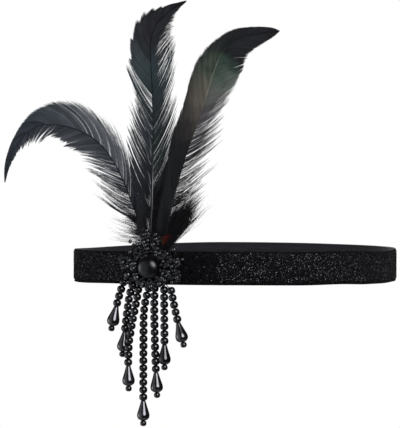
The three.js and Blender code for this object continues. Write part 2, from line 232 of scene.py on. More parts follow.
def mixColour(tree, share, a, b):
    return addNode(tree, "ShaderNodeMix", {0: share, 6: a, 7: b}, data_type="RGBA").outputs[2]


def mapRange(tree, value, low, high, start=0.0, end=1.0, way="LINEAR"):
    # start to end of the value becomes low to high
    return addNode(tree, "ShaderNodeMapRange", {
        "Value": value, "From Min": start, "From Max": end, "To Min": low, "To Max": high,
    }, interpolation_type=way).outputs[0]


def objectPlace(tree):
    return addNode(tree, "ShaderNodeTexCoord").outputs["Object"]


def surfaceValue(tree, name):
    # a number that the mesh carries, for a material
    return addNode(tree, "ShaderNodeAttribute", attribute_name=name).outputs["Fac"]


def readNamed(tree, name, kind="FLOAT"):
    # a number or a direction that the mesh carries, for a geometry tree
    return addNode(tree, "GeometryNodeInputNamedAttribute", {"Name": name}, data_type=kind).outputs[0]


def storeNamed(tree, geometry, name, value, kind="FLOAT", domain="POINT"):
    return addNode(tree, "GeometryNodeStoreNamedAttribute", {
        "Geometry": geometry, "Name": name, "Value": value,
    }, data_type=kind, domain=domain).outputs[0]


def randomValue(tree, low, high, seed):
    return addNode(
        tree, "FunctionNodeRandomValue", {2: low, 3: high, "Seed": seed}, data_type="FLOAT"
    ).outputs[1]


def nodeGroup(name, kind, inputs, outputs):
    # a tree with named inputs and outputs; returns it with its inputs' sockets
    tree = bpy.data.node_groups.new(name, kind)
    for way, sockets in (("INPUT", inputs), ("OUTPUT", outputs)):
        for label, socket in sockets.items():
            tree.interface.new_socket(label, in_out=way, socket_type="NodeSocket" + socket)
    return tree, tree.nodes.new("NodeGroupInput").outputs


def growthTree(name, sockets):
    inputs = {"Geometry": "Geometry", **sockets, "Seed": "Int", "Material": "Material"}
    return nodeGroup(name, "GeometryNodeTree", inputs, {"Geometry": "Geometry"})


def endTree(tree, geometry, material):
    # copies made real, then painted
    real = addNode(tree, "GeometryNodeRealizeInstances", {0: geometry}).outputs[0]
    painted = addNode(tree, "GeometryNodeSetMaterial", {"Geometry": real, "Material": material})
    addNode(tree, "NodeGroupOutput", {0: painted.outputs[0]})
    return tree


def grow(name, base, tree, place=None, **values):
    # runs a tree on a base mesh and returns the result as a plain object, moved to its place
    seedling = addObject(name, base)
    modifier = seedling.modifiers.new("growth", "NODES")
    modifier.node_group = tree
    for item in tree.interface.items_tree:
        if item.in_out == "INPUT" and item.name.replace(" ", "") in values:
            modifier[item.identifier] = values[item.name.replace(" ", "")]
    graph = bpy.context.evaluated_depsgraph_get()
    grown = bpy.data.meshes.new_from_object(
        seedling.evaluated_get(graph), preserve_all_data_layers=True, depsgraph=graph
    )
    seedling.modifiers.clear()
    seedling.data = grown
    if place is not None:
        grown.transform(place)
    print("grown", name, len(grown.vertices), "points", len(grown.polygons), "faces")
    return seedling


# Materials

fleckRadius = 0.42  # of the way across a cell


def makeSpeckle():
    # flecks scattered over a surface: a mask, a random tone for each and a normal that tips with it
    tree, given = nodeGroup(
        "speckle", "ShaderNodeTree", {"Scale": "Float", "Share": "Float", "Tip": "Float"},
        {"Mask": "Float", "Tone": "Float", "Normal": "Vector"},
    )
    cells = addNode(
        tree, "ShaderNodeTexVoronoi", {"Vector": objectPlace(tree), "Scale": given["Scale"]}
    ).outputs
    parts = addNode(tree, "ShaderNodeSeparateColor", {0: cells["Color"]}).outputs
    chosen = calc(tree, "LESS_THAN", parts[0], given["Share"])
    inside = calc(tree, "LESS_THAN", cells["Distance"], fleckRadius)
    spin = calcVector(tree, "SUBTRACT", cells["Color"], (0.5, 0.5, 0.5))
    tipped = calcVector(tree, "SCALE", spin, scale=given["Tip"])
    flat = addNode(tree, "ShaderNodeNewGeometry").outputs["Normal"]
    normal = calcVector(tree, "NORMALIZE", calcVector(tree, "ADD", flat, tipped))
    addNode(tree, "NodeGroupOutput", {
        "Mask": times(tree, chosen, inside), "Tone": parts[1], "Normal": normal,
    })
    return tree


def makeGrain():
    # fine unevenness: a height for bumps and a slow mottle for colour and roughness
    tree, given = nodeGroup(
        "grain", "ShaderNodeTree",
        {"Fine": "Float", "Broad": "Float"}, {"Height": "Float", "Mottle": "Float"},
    )
    place = objectPlace(tree)
    fine = addNode(tree, "ShaderNodeTexNoise", {"Vector": place, "Scale": given["Fine"], "Detail": 4.0})
    broad = addNode(tree, "ShaderNodeTexNoise", {"Vector": place, "Scale": given["Broad"], "Detail": 2.0})
    addNode(tree, "NodeGroupOutput", {"Height": fine.outputs[0], "Mottle": broad.outputs[0]})
    return tree


effects = {"speckle": makeSpeckle(), "grain": makeGrain()}


def startMaterial(name, fixed=None):
    # a principled material with fixed values on its own sockets
    material = bpy.data.materials.new(name)
    material.use_nodes = True
    tree = material.node_tree
    shader = next(n for n in tree.nodes if n.type == "BSDF_PRINCIPLED")
    wireUp(tree, shader, fixed or {})
    return material, tree, shader


def useEffect(tree, name, **values):
    return addNode(tree, "ShaderNodeGroup", values, node_tree=effects[name]).outputs


def addBump(tree, shader, height, strength, depth, under=None):
    wires = {"Height": height, "Strength": strength, "Distance": depth}
    if under is not None:
        wires["Normal"] = under
    wireUp(tree, shader, {"Normal": addNode(tree, "ShaderNodeBump", wires).outputs[0]})


def waves(tree, direction, **settings):
    wires = {key.replace("_", " "): value for key, value in settings.items()}
    wires["Vector"] = objectPlace(tree)
    return addNode(tree, "ShaderNodeTexWave", wires, bands_direction=direction).outputs["Fac"]


# Darkest and lightest colour of what is woven, felted or strewn, and the colours that shade them
colours = {
    "velvet": ((0.0022, 0.0022, 0.0027, 1), (0.0055, 0.0055, 0.0065, 1)),
    "flecks": ((0.003, 0.003, 0.0033, 1), (0.05, 0.05, 0.053, 1)),
    "flakes": ((0.003, 0.003, 0.0034, 1), (0.25, 0.25, 0.26, 1)),
    "dullFlake": (0.004, 0.004, 0.005, 1),
    "wales": ((0.006, 0.006, 0.008, 1), (0.024, 0.024, 0.03, 1)),
    "stitchRow": (0.005, 0.005, 0.006, 1),
    "knitMottle": (0.01, 0.01, 0.014, 1),
    "felt": ((0.003, 0.003, 0.0035, 1), (0.014, 0.014, 0.016, 1)),
    "thread": ((0.003, 0.003, 0.003, 1), (0.012, 0.012, 0.013, 1)),
}


def velvetMaterial():
    material, tree, shader = startMaterial("glitter velvet", {
        "Sheen Weight": 0.02, "Sheen Roughness": 0.4, "Specular IOR Level": 0.08,
    })
    grain = useEffect(tree, "grain", Fine=2600.0, Broad=90.0)
    fleck = useEffect(tree, "speckle", Scale=1500.0, Share=0.35, Tip=1.5)
    mask = times(tree, fleck["Mask"], surfaceValue(tree, "pile"))
    cloth = mixColour(tree, grain["Mottle"], *colours["velvet"])
    flecks = mixColour(tree, fleck["Tone"], *colours["flecks"])
    wireUp(tree, shader, {
        "Base Color": mixColour(tree, mask, cloth, flecks),
        "Roughness": mapRange(tree, mask, 0.85, 0.3),
        "Metallic": times(tree, mask, 0.8),
    })
    addBump(tree, shader, grain["Height"], strength=0.8, depth=0.3 * mm, under=fleck["Normal"])
    return material


def knitMaterial():
    # the plain inside: fine wales that run along the band, crossed by rows of stitches
    material, tree, shader = startMaterial("knit inside", {
        "Sheen Weight": 0.2, "Sheen Roughness": 0.5, "Specular IOR Level": 0.2,
    })
    grain = useEffect(tree, "grain", Fine=1800.0, Broad=60.0)
    wales = waves(tree, "Z", Scale=520.0, Distortion=0.6, Detail=1.0)
    rows = waves(tree, "Z", Scale=88.0, Distortion=0.5, Detail_Scale=0.3)
    colour = mixColour(tree, wales, *colours["wales"])
    colour = mixColour(tree, mapRange(tree, rows, 0.0, 0.6), colour, colours["stitchRow"])
    wireUp(tree, shader, {
        "Base Color": mixColour(tree, grain["Mottle"], colour, colours["knitMottle"]),
        "Roughness": mapRange(tree, grain["Mottle"], 0.7, 0.9),
    })
    addBump(tree, shader, calc(tree, "ADD", wales, grain["Height"]), strength=0.5, depth=0.1 * mm)
    return material


def flakeMaterial():
    material, tree, shader = startMaterial("glitter flakes", {"Specular IOR Level": 0.2})
    tone = surfaceValue(tree, "tone")
    grain = useEffect(tree, "grain", Fine=900.0, Broad=40.0)
    colour = mixColour(tree, tone, *colours["flakes"])
    dulled = mapRange(tree, grain["Mottle"], 0, 0.5)
    wireUp(tree, shader, {
        "Base Color": mixColour(tree, dulled, colour, colours["dullFlake"]),
        "Roughness": mapRange(tree, tone, 0.5, 0.22),
        "Metallic": mapRange(tree, tone, 0.4, 0.95),
    })
    return material


# Polished finishes: darkest and lightest colour, how rough and how metallic they are, the weight
# of their clear coat, how uneven the surface is and how strongly it mirrors
polishes = table(
    "piece name dark light rough metal coat uneven shine",
    ("seed", "seed beads", (0.003, 0.003, 0.004), (0.007, 0.007, 0.009), 0.3, 0.0, 0.0, 0.1, 0.44),
    ("spark", "polished beads", (0.004, 0.004, 0.005), (0.009, 0.009, 0.011), 0.12, 0.0, 0.5, 0.03, 0.9),
    ("bead", "round beads", (0.003, 0.003, 0.004), (0.007, 0.007, 0.009), 0.06, 0.0, 0.35, 0.03, 0.6),
    ("drop", "hematite drops", (0.088, 0.085, 0.087), (0.124, 0.12, 0.127), 0.12, 0.97, 0.4, 0.03, 0.5),
    ("dark drop", "black drops", (0.045, 0.044, 0.045), (0.07, 0.068, 0.072), 0.1, 0.97, 0.4, 0.03, 0.5),
    ("dome", "black pearl", (0.0008, 0.0008, 0.001), (0.0016, 0.0016, 0.0019), 0.2, 0.0, 0.0, 0.02, 0.6),
)
scuffs = {"above": 0.62, "rough": 0.06, "mottled": 1.8, "depth": 0.08 * mm, "coatRough": 0.06}


def polishedMaterial(look):
    # pressed glass or plastic, a little uneven and finely scuffed
    material, tree, shader = startMaterial(look["name"], {
        "Coat Weight": look["coat"], "Coat Roughness": scuffs["coatRough"],
        "Specular IOR Level": look["shine"], "Metallic": look["metal"],
    })
    grain = useEffect(tree, "grain", Fine=1400.0, Broad=260.0)
    scuff = times(tree, calc(tree, "GREATER_THAN", grain["Height"], scuffs["above"]), scuffs["rough"])
    rough = mapRange(tree, grain["Mottle"], look["rough"], look["rough"] * scuffs["mottled"])
    wireUp(tree, shader, {
        "Base Color": mixColour(tree, grain["Mottle"], (*look["dark"], 1), (*look["light"], 1)),
        "Roughness": calc(tree, "ADD", rough, scuff),
    })
    addBump(tree, shader, grain["Height"], strength=look["uneven"], depth=scuffs["depth"])
    return material


def feltMaterial():
    material, tree, shader = startMaterial("black felt", {
        "Sheen Weight": 0.3, "Sheen Roughness": 0.6, "Specular IOR Level": 0.2, "Roughness": 0.9,
    })
    grain = useEffect(tree, "grain", Fine=2200.0, Broad=140.0)
    wireUp(tree, shader, {"Base Color": mixColour(tree, grain["Height"], *colours["felt"])})
    addBump(tree, shader, grain["Height"], strength=0.9, depth=0.3 * mm)
    return material


def threadMaterial():
    material, tree, shader = startMaterial("waxed thread", {"Specular IOR Level": 0.4, "Roughness": 0.6})
    lay = waves(tree, "DIAGONAL", Scale=700.0, Distortion=1.0)
    wireUp(tree, shader, {"Base Color": mixColour(tree, lay, *colours["thread"])})
    addBump(tree, shader, lay, strength=0.5, depth=0.05 * mm)
    return material


def litRamp(tree, place, stops):
    # colours along place, given by how they look in this light, from 0 to 255, so they blend evenly
    ramp = addNode(tree, "ShaderNodeValToRGB", {0: place})
    while len(ramp.color_ramp.elements) < len(stops):
        ramp.color_ramp.elements.new(0.5)
    for element, (at, seen) in zip(ramp.color_ramp.elements, stops):
        element.position, element.color = at, (*(part / 255 for part in seen), 1)
    return ramp.outputs[0]


def litColour(tree, seen, shade):
    plain = addNode(tree, "ShaderNodeGamma", {0: seen, 1: 2.2}).outputs[0]
    return calcVector(tree, "SCALE", plain, scale=shade)


# How bright the barbs are under their colours, the spread between dull and bright ones, and how
# far the colours wander along the feather
barbShade = {"light": 1.8, "spread": 2.6, "evened": 1.4, "brightFew": 1.6, "edgeLate": 1.3, "wander": 0.03}


def featherMaterial(name, vanes, evenness):
    # vanes: for the left and the right vane, colours from quill to tip at the shaft and at the edge
    material, tree, shader = startMaterial(name, {
        "Specular IOR Level": 0.2, "Sheen Weight": 0.04, "Sheen Roughness": 0.35,
    })
    station, reach, tone = (surfaceValue(tree, key) for key in ("station", "reach", "tone"))
    grain = useEffect(tree, "grain", Fine=1500.0, Broad=120.0)
    aside = mapRange(tree, grain["Mottle"], -barbShade["wander"], barbShade["wander"], 0.3, 0.7)
    wander = calc(tree, "ADD", station, aside)
    far = calc(tree, "POWER", calc(tree, "ABSOLUTE", reach), barbShade["edgeLate"])
    sides = [
        mixColour(tree, far, litRamp(tree, wander, near), litRamp(tree, wander, edge))
        for near, edge in vanes
    ]
    seen = mixColour(tree, mapRange(tree, reach, 0, 1, -0.02, 0.02), *sides)
    shade = mapRange(
        tree, calc(tree, "POWER", tone, barbShade["brightFew"]), barbShade["light"] * evenness,
        barbShade["light"] * (barbShade["spread"] - barbShade["evened"] * evenness),
    )
    wireUp(tree, shader, {
        "Base Color": litColour(tree, seen, shade),
        "Roughness": mapRange(tree, grain["Height"], 0.38, 0.6),
        "Metallic": mapRange(tree, grain["Mottle"], 0.0, 0.15),
    })
    addBump(tree, shader, grain["Height"], strength=0.3, depth=0.05 * mm)
    return material


def shaftMaterial(name, stops):
    material, tree, shader = startMaterial(name, {"Specular IOR Level": 0.12})
    grain = useEffect(tree, "grain", Fine=900.0, Broad=200.0)
    shade = mapRange(tree, grain["Mottle"], 1.2, 2.2)
    wireUp(tree, shader, {
        "Base Color": litColour(tree, litRamp(tree, surfaceValue(tree, "station"), stops), shade),
        "Roughness": mapRange(tree, grain["Height"], 0.5, 0.7),
    })
    addBump(tree, shader, grain["Height"], strength=0.3, depth=0.05 * mm)
    return material


materials = {
    "velvet": velvetMaterial(),
    "knit": knitMaterial(),
    "flakes": flakeMaterial(),
    "felt": feltMaterial(),
    "thread": threadMaterial(),
    **{look["piece"]: polishedMaterial(look) for look in polishes},
}
print("materials made:", len(materials))


# Camera, light and floor

view = {
    "target": Vector((-20, 0, 28.7)) * mm,
    "distance": 3.0,
    "elevation": 1.65,
    "widthSeen": 228.2 * mm,
    "sensor": 36.0,
}


def makeCamera():
    camera = bpy.data.cameras.new("camera")
    camera.sensor_fit = "HORIZONTAL"
    camera.sensor_width = view["sensor"]
    camera.lens = view["sensor"] * view["distance"] / view["widthSeen"]
    holder = bpy.data.objects.new("camera", camera)
    scene.collection.objects.link(holder)
    rise = math.radians(view["elevation"])
    back = Vector((0, -math.cos(rise), math.sin(rise)))
    holder.location = view["target"] + back * view["distance"]
    holder.rotation_euler = (-back).to_track_quat("-Z", "Y").to_euler()
    scene.camera = holder


softboxes = table(
    "name aim away size watts",
    ("key", (0.66, -0.52, 0.54), 1.1, 0.55, 14),
    ("left panel", (-0.97, -0.3, -0.12), 1.2, 0.9, 12),
    ("front", (-0.2, -1.0, 0.6), 1.8, 1.0, 7),
    ("back", (-0.3, 0.95, 0.5), 1.3, 0.8, 9),
    ("top", (0, 0.1, 1), 1.5, 1.4, 18),
)


def makeLights():
    for row in softboxes:
        light = bpy.data.lights.new(row["name"], "AREA")
        light.shape = "DISK"
        light.size = row["size"]
        light.energy = row["watts"]
        lamp = bpy.data.objects.new(row["name"], light)
        aim = Vector(row["aim"]).normalized()
        lamp.location = aim * row["away"] + view["target"]
        lamp.rotation_euler = aim.to_track_quat("Z", "Y").to_euler()
        lamp.visible_camera = False
        lamp.visible_glossy = False  # the glows below are what the gloss shows
        scene.collection.objects.link(lamp)


# What glossy surfaces mirror: soft patches of light in a dark room. aim is the way to a patch, and
# full and faded are the angles from its middle at which it starts and ends to fade, in degrees
glows = table(
    "aim full faded strength",
    ((0.38, -0.84, 0.38), 14, 27, 5.8),
    ((-0.94, -0.34, -0.12), 38, 50, 0.4),
    ((-1, 0.12, -0.1), 6, 24, 1.7),
    ((-0.1, 0.25, -1), 20, 72, 0.3),
)
room = {
    "seen": {"Color": (1, 1, 1, 1), "Strength": 1.0},
    "onCloth": {"Color": (0.9, 0.95, 1, 1), "Strength": 0.04},
    "mirrored": (0.94, 0.97, 1.02, 1),
    "dark": 0.03,  # of the mirrored room between the glows
}


def makeWorld():
    # white to the camera, dim to the cloth, and dark with a few glows to what is glossy
    world = bpy.data.worlds.new("white room")
    scene.world = world
    world.use_nodes = True
    world.cycles.sampling_method = "NONE"
    tree = world.node_tree
    tree.nodes.clear()
    way = calcVector(tree, "NORMALIZE", objectPlace(tree))
    mirrored = room["dark"]
    for glow in glows:
        facing = addNode(tree, "ShaderNodeVectorMath", {
            0: way, 1: Vector(glow["aim"]).normalized(),
        }, operation="DOT_PRODUCT").outputs["Value"]
        faded, full = (math.cos(math.radians(glow[edge])) for edge in ("faded", "full"))
        patch = mapRange(tree, facing, 0.0, glow["strength"], faded, full, "SMOOTHSTEP")
        mirrored = calc(tree, "ADD", mirrored, patch)
    gloss = {"Color": room["mirrored"], "Strength": mirrored}
    seen, dim, glossy = (
        addNode(tree, "ShaderNodeBackground", wires).outputs[0]
        for wires in (room["seen"], room["onCloth"], gloss)
    )
    path = addNode(tree, "ShaderNodeLightPath").outputs
    both = addNode(tree, "ShaderNodeMixShader", {0: path["Is Glossy Ray"], 1: dim, 2: glossy}).outputs[0]
    every = addNode(tree, "ShaderNodeMixShader", {0: path["Is Camera Ray"], 1: both, 2: seen}).outputs[0]
    addNode(tree, "ShaderNodeOutputWorld", {0: every})


floorPlan = {
    "below": 215 * mm,
    "radius": 1.1,
    "sides": 96,
    "seen": (0.88, 0.88, 0.88, 1),
    "mottled": (0.86, 0.86, 0.86, 1),
    "mirrored": (0.1, 0.1, 0.1, 1),
}


def makeFloor():
    # pale to the eye, and dim in reflections, as if the pieces had black card round them
    material, tree, shader = startMaterial("pale floor", {"Roughness": 0.8})
    grain = useEffect(tree, "grain", Fine=300.0, Broad=6.0)
    colour = mixColour(tree, grain["Mottle"], floorPlan["mottled"], floorPlan["seen"])
    wireUp(tree, shader, {"Base Color": colour})
    shadow = addNode(tree, "ShaderNodeBsdfDiffuse", {"Color": floorPlan["mirrored"]}).outputs[0]
    eye = addNode(tree, "ShaderNodeLightPath").outputs["Is Camera Ray"]
    both = addNode(tree, "ShaderNodeMixShader", {0: eye, 1: shadow, 2: shader.outputs[0]}).outputs[0]
    wireUp(tree, next(n for n in tree.nodes if n.type == "OUTPUT_MATERIAL"), {"Surface": both})
    below = Vector((0, 0, floorPlan["below"]))
    ring = [
        Vector((math.cos(a), math.sin(a), 0)) * floorPlan["radius"] - below
        for a in anglesRound(floorPlan["sides"])
    ]
    mesh = meshFrom("floor", ring, [tuple(range(len(ring)))])
    mesh.materials.append(material)
    floor = addObject("floor", mesh)
    floor.visible_glossy = False


makeCamera()
makeLights()
makeWorld()
makeFloor()
scene.view_settings.view_transform = "Standard"
print("camera, lights and floor made")


# The stretch band

band = {
    "length": 184 * mm,
    "width": 142 * mm,
    "height": 19 * mm,
    "wall": 1.6 * mm,
    "rounding": 0.45 * mm,
    "squareness": 2.2,
    "stations": 640,
    "walkSteps": 4000,  # to measure along the loop
    "pileRise": 0.3 * mm,  # the velvet stands this far over the plain selvages
    "lowSelvage": 1.9 * mm,
    "highSelvage": 1.1 * mm,
    "pileSteps": 22,
    "pileNoise": 0.12 * mm,
    "pileGrain": 0.9 * mm,
    "wales": 13,  # ribs of the knit inside, from edge to edge
    "waleDepth": 0.09 * mm,
}

# The elastic's edges, drawn a little out of true, as shares of its height
bandWaves = table(
    "along lower upper",
    (0, 0.02, -0.01), (20, 0.01, -0.01), (50, 0, 0.008), (68, 0, 0.028), (94, 0.01, 0.045),
    (106, 0.01, 0.03), (138, 0, -0.045), (156, 0, -0.06), (180, 0, -0.03), (202, 0.01, -0.015),
    (222, 0.034, -0.005), (258, 0.025, 0.02), (277, 0.018, 0.012), (293, 0.008, 0), (308, 0.024, 0.002),
    (320, 0, -0.015), (334, 0, -0.045), (348, 0.02, -0.03), (360, 0.02, -0.01),
)


def bandOutside(turn):
    # a point of the band's outer face at a turn round the loop, and the way out of it
    n = band["squareness"]
    across = signedPower(math.cos(math.radians(turn)), 2 / n)
    deep = signedPower(math.sin(math.radians(turn)), 2 / n)
    point = Vector((across * band["length"] / 2, deep * band["width"] / 2, 0))
    out = Vector((signedPower(across, n - 1) / band["length"], signedPower(deep, n - 1) / band["width"], 0))
    return point, out.normalized()


def bandTurns():
    # turns that stand evenly far apart along the loop
    fine = [360 * i / band["walkSteps"] for i in range(band["walkSteps"] + 1)]
    walked, points = [0.0], [bandOutside(turn)[0] for turn in fine]
    for a, b in zip(points, points[1:]):
        walked.append(walked[-1] + (b - a).length)
    turns, k = [], 0
    for i in range(band["stations"]):
        goal = walked[-1] * i / band["stations"]
        while walked[k + 1] < goal:
            k += 1
        turns.append(blend(fine[k], fine[k + 1], (goal - walked[k]) / (walked[k + 1] - walked[k])))
    return turns


def bandEdges(turn):
    top = band["height"] * (0.5 + readTable(bandWaves, turn, "upper"))
    bottom = band["height"] * (readTable(bandWaves, turn, "lower") - 0.5)
    return bottom, top


def bandSection(turn):
    # (inward, z, pile, inside) round the wall, from the lower edge up the outside and down the inside
    bottom, top = bandEdges(turn)
    rise, wall, edge = band["pileRise"], band["wall"], band["rounding"]
    corner = edge * 0.3
    low, high = bottom + band["lowSelvage"], top - band["highSelvage"]
    section = [
        (rise + edge, bottom, 0, 0), (rise + corner, bottom + corner, 0, 0), (rise, bottom + edge, 0, 0),
        (rise * 1.15, bottom + edge * 2, 0, 0), (rise, low - edge * 0.5, 0, 0),
    ]
    for i in range(band["pileSteps"] + 1):
        share = i / band["pileSteps"]
        full = min(1, 6 * min(share, 1 - share) + 0.35)  # the pile thins out next to the selvages
        section.append((rise * (1 - full), blend(low, high, share), 1, 0))
    section += [
        (rise, high + edge * 0.5, 0, 0), (rise, top - edge, 0, 0), (rise + corner, top - corner, 0, 0),
        (rise + edge, top, 0, 0), (wall - edge, top, 0, 1), (wall - corner, top - corner, 0, 1),
    ]
    steps = 4 * band["wales"]
    for i in range(steps + 1):
        ridge = band["waleDepth"] * (1 - math.cos(2 * math.pi * i / 4)) / 2
        section.append((wall - ridge, blend(top - edge, bottom + edge, i / steps), 0, 1))
    section += [(wall - corner, bottom + corner, 0, 1), (wall - edge, bottom, 0, 1)]
    return section


def makeBand():
    rings, pile, inside = [], [], []
    for turn in bandTurns():
        point, out = bandOutside(turn)
        ring = []
        for inward, z, plush, inner in bandSection(turn):
            at = point - out * inward + Vector((0, 0, z))
            if plush:
                at += out * band["pileNoise"] * (noise.noise(at / band["pileGrain"]) - 1) * 0.5
            ring.append(at)
            pile.append(plush)
            inside.append(inner)
        rings.append(ring)
    points, faces = skinRings(rings, joined=True)
    mesh = faceOut(meshFrom("band", points, faces))
    storeValues(mesh, "pile", pile)
    mesh.materials.append(materials["velvet"])
    mesh.materials.append(materials["knit"])
    for polygon in mesh.polygons:
        polygon.material_index = 1 if all(inside[i] for i in polygon.vertices) else 0
    return finishPiece(addObject("band_cloth", mesh), "glitter_band", "headband")


glitter = {
    "density": 1.5e6,  # flakes to a square metre
    "size": 0.3 * mm,
    "sizes": (0.5, 1.35),
    "height": 0.35,
    "tilt": 0.55,
    "sunk": 0.02,  # mm under the velvet's face
    "brightFew": 3.0,  # the higher, the fewer flakes are bright
    "seed": 7,
    "barePatches": table("turn half keep", (258, 7, 0.12), (205, 14, 0.6)),  # patches with fewer flakes: middle turn, half width in turns and share of flakes kept
}


def glitterTree():
    tree, given = growthTree("glitter", {"Density": "Float", "Flake Size": "Float", "Tilt": "Float"})
    spread = addNode(tree, "GeometryNodeDistributePointsOnFaces", {
        "Mesh": given["Geometry"], "Density": times(tree, given["Density"], readNamed(tree, "keep")),
        "Seed": given["Seed"],
    }).outputs
    flake = addNode(tree, "GeometryNodeMeshCone", {
        "Vertices": 6, "Radius Top": 0.0, "Radius Bottom": 1.0, "Depth": glitter["height"],
    }).outputs[0]
    tip = addNode(tree, "FunctionNodeRandomValue", {
        0: (-1.0, -1.0, -1.0), 1: (1.0, 1.0, 1.0), "Seed": given["Seed"],
    }, data_type="FLOAT_VECTOR").outputs[0]
    facing = calcVector(tree, "ADD", spread["Normal"], calcVector(tree, "SCALE", tip, scale=given["Tilt"]))
    turned = addNode(tree, "FunctionNodeAlignEulerToVector", {"Vector": facing}, axis="Z").outputs[0]
    placed = addNode(tree, "GeometryNodeInstanceOnPoints", {
        "Points": spread["Points"], "Instance": flake, "Rotation": turned,
        "Scale": times(tree, randomValue(tree, *glitter["sizes"], 3), given["Flake Size"]),
    }).outputs[0]
    tone = calc(tree, "POWER", randomValue(tree, 0.0, 1.0, 11), glitter["brightFew"])
    return endTree(tree, storeNamed(tree, placed, "tone", tone, domain="INSTANCE"), given["Material"])


def makeGlitter():
    # the flakes lie on the velvet's face, which this sheet follows
    points, faces, keep = [], [], []
    turns = bandTurns()[::2]
    for turn in turns:
        point, out = bandOutside(turn)
        bottom, top = bandEdges(turn)
        kept = 1.0
        for patch in glitter["barePatches"]:
            if abs(turn - patch["turn"]) < patch["half"]:
                kept = patch["keep"]
        for z in (bottom + band["lowSelvage"] * 0.9, top - band["highSelvage"]):
            points.append(point - out * glitter["sunk"] * mm + Vector((0, 0, z)))
            keep.append(kept)
    for i in range(len(turns)):
        a, b = 2 * i, 2 * ((i + 1) % len(turns))
        faces.append((a, b, b + 1, a + 1))
    mesh = meshFrom("glitter_face", points, faces)
    mesh.shade_flat()
    storeValues(mesh, "keep", keep)
    piece = grow(
        "band_glitter", mesh, glitterTree(), Density=glitter["density"], FlakeSize=glitter["size"],
        Tilt=glitter["tilt"], Seed=glitter["seed"], Material=materials["flakes"],
    )
    piece.data.shade_flat()
    return finishPiece(piece, "glitter_band")


makeBand()
makeGlitter()
print("band made")


# The ornament hangs in a frame of its own: x along the band, y into the head, z up from its middle

rosette = {
    "turn": 242.6,
    "rise": 0.8 * mm,
    "radius": 10.5 * mm,
    "backDepth": 0.3 * mm,
    "blockDepth": 5.0 * mm,
    "petalDepth": 6.2 * mm,
    "seedBead": 2.1 * mm,
    "seedPitch": 2.1 * mm,
    "collarRadius": 7.0 * mm,
    "domeRadius": 6.12 * mm,
    "domeHeight": 4.8 * mm,
    "domeSeat": 7.5 * mm,
    "domeGirdle": 1.2 * mm,
    "domeTurn": 4,
    "domeNod": 7,
    "domeAside": -0.35 * mm,
    "domeRise": -0.15 * mm,
    "domeBevel": 0.15 * mm,
    "domePole": 0.02 * mm,  # a tiny flat closes the dome on its axis
    "domeSides": 72,
    "domeSteps": 20,
}
seatPoint, seatOut = bandOutside(rosette["turn"])
ornamentPlace = (
    Matrix.Translation(seatPoint + Vector((0, 0, rosette["rise"])))
    @ Matrix.Rotation(math.atan2(seatOut.x, -seatOut.y), 4, "Z")
)


beadRoundness = 0.84  # 1 is a ball, less is fuller towards the holes


def beadObject(name, sides, steps, bore, girth):
    # a drilled bead of unit radius about Z, to be copied; it goes once its strings are made
    start = math.asin(bore ** (1 / beadRoundness))
    profile = []
    for i in range(steps + 1):
        a = blend(start, math.pi - start, i / steps)
        profile.append((math.sin(a) ** beadRoundness * girth, -signedPower(math.cos(a), beadRoundness)))
    return addObject(name, turnedMesh(name, profile, sides))


def beadTree():
    tree, given = growthTree("strung beads", {
        "Bead": "Object", "Bead Radius": "Float", "Size Spread": "Float",
    })
    bead = addNode(tree, "GeometryNodeObjectInfo", {"Object": given["Bead"]}).outputs["Geometry"]
    aimed = addNode(tree, "FunctionNodeAlignEulerToVector", {
        "Vector": readNamed(tree, "aim", "FLOAT_VECTOR"),
    }, axis="Z").outputs[0]
    spin = randomValue(tree, 0.0, 6.283, given["Seed"])  # any way round its thread
    turned = addNode(tree, "FunctionNodeRotateEuler", {
        "Rotation": aimed, "Rotate By": addNode(tree, "ShaderNodeCombineXYZ", {2: spin}).outputs[0],
    }, space="LOCAL").outputs[0]
    low, high = (calc(tree, way, 1.0, given["Size Spread"]) for way in ("SUBTRACT", "ADD"))
    size = randomValue(tree, low, high, given["Seed"])
    placed = addNode(tree, "GeometryNodeInstanceOnPoints", {
        "Points": given["Geometry"], "Instance": bead, "Rotation": turned,
        "Scale": times(tree, size, given["Bead Radius"], readNamed(tree, "size")),
    }).outputs[0]
    return endTree(tree, placed, given["Material"])


strungBeads = beadTree()
roundBead = beadObject("round_bead", sides=22, steps=12, bore=0.13, girth=1.1)
seedBead = beadObject("seed_bead", sides=9, steps=5, bore=0.3, girth=1.1)

# Strands from left to right. across is the first bead's place from the rosette's middle and drop
# its place below the rosette's rim, both in bead pitches. The leans are slopes in degrees, at the
# top, once settled and at the teardrop; settle is how many beads that takes.
strandSizes = {
    "bead": 4 * mm,
    "pitch": 4.08 * mm,
    "fullness": 1.035,  # beads of half a pitch swell by this much and touch
    "uneven": (0.98, 1.01),
    "back": 2.6 * mm,
    "forward": 3.5 * mm,
    "hidden": 2,
    "gap": 0.08 * mm,
    "thread": 0.28 * mm,
    "rootDepth": 2.5 * mm,
    "dropLength": 11.0 * mm,
    "dropWidth": 7.0 * mm,
    "stopper": 2.7 * mm,
    "stopperLook": 3.1 * mm,
    "stopperSag": 0.15,  # mm
    "dropSides": 32,
    "dropSteps": 28,
    "dropBore": 1.5,  # threads across
    "darkDrop": 6,  # the one that is blacker than the others
}
strands = table(
    "beads across drop top middle end settle front",
    (4, -4.3, -0.46, -20, -16.5, -13.5, 2, 0),
    (7, -2.98, -0.06, -18, -8.5, -6.5, 2, 0),
    (12, -1.98, -0.46, -9, -8.2, 1, 6, 1),
    (16, -0.6, 0.31, -17, -0.5, 0, 4, 0),
    (12, 0.27, 0.32, -2, 0.8, 2.8, 3, 0),
    (8, 1.67, 0.49, 0, 0.6, 0, 3, 0),
    (5, 2.69, 0.57, 12, 13, 15, 2, 0),
)

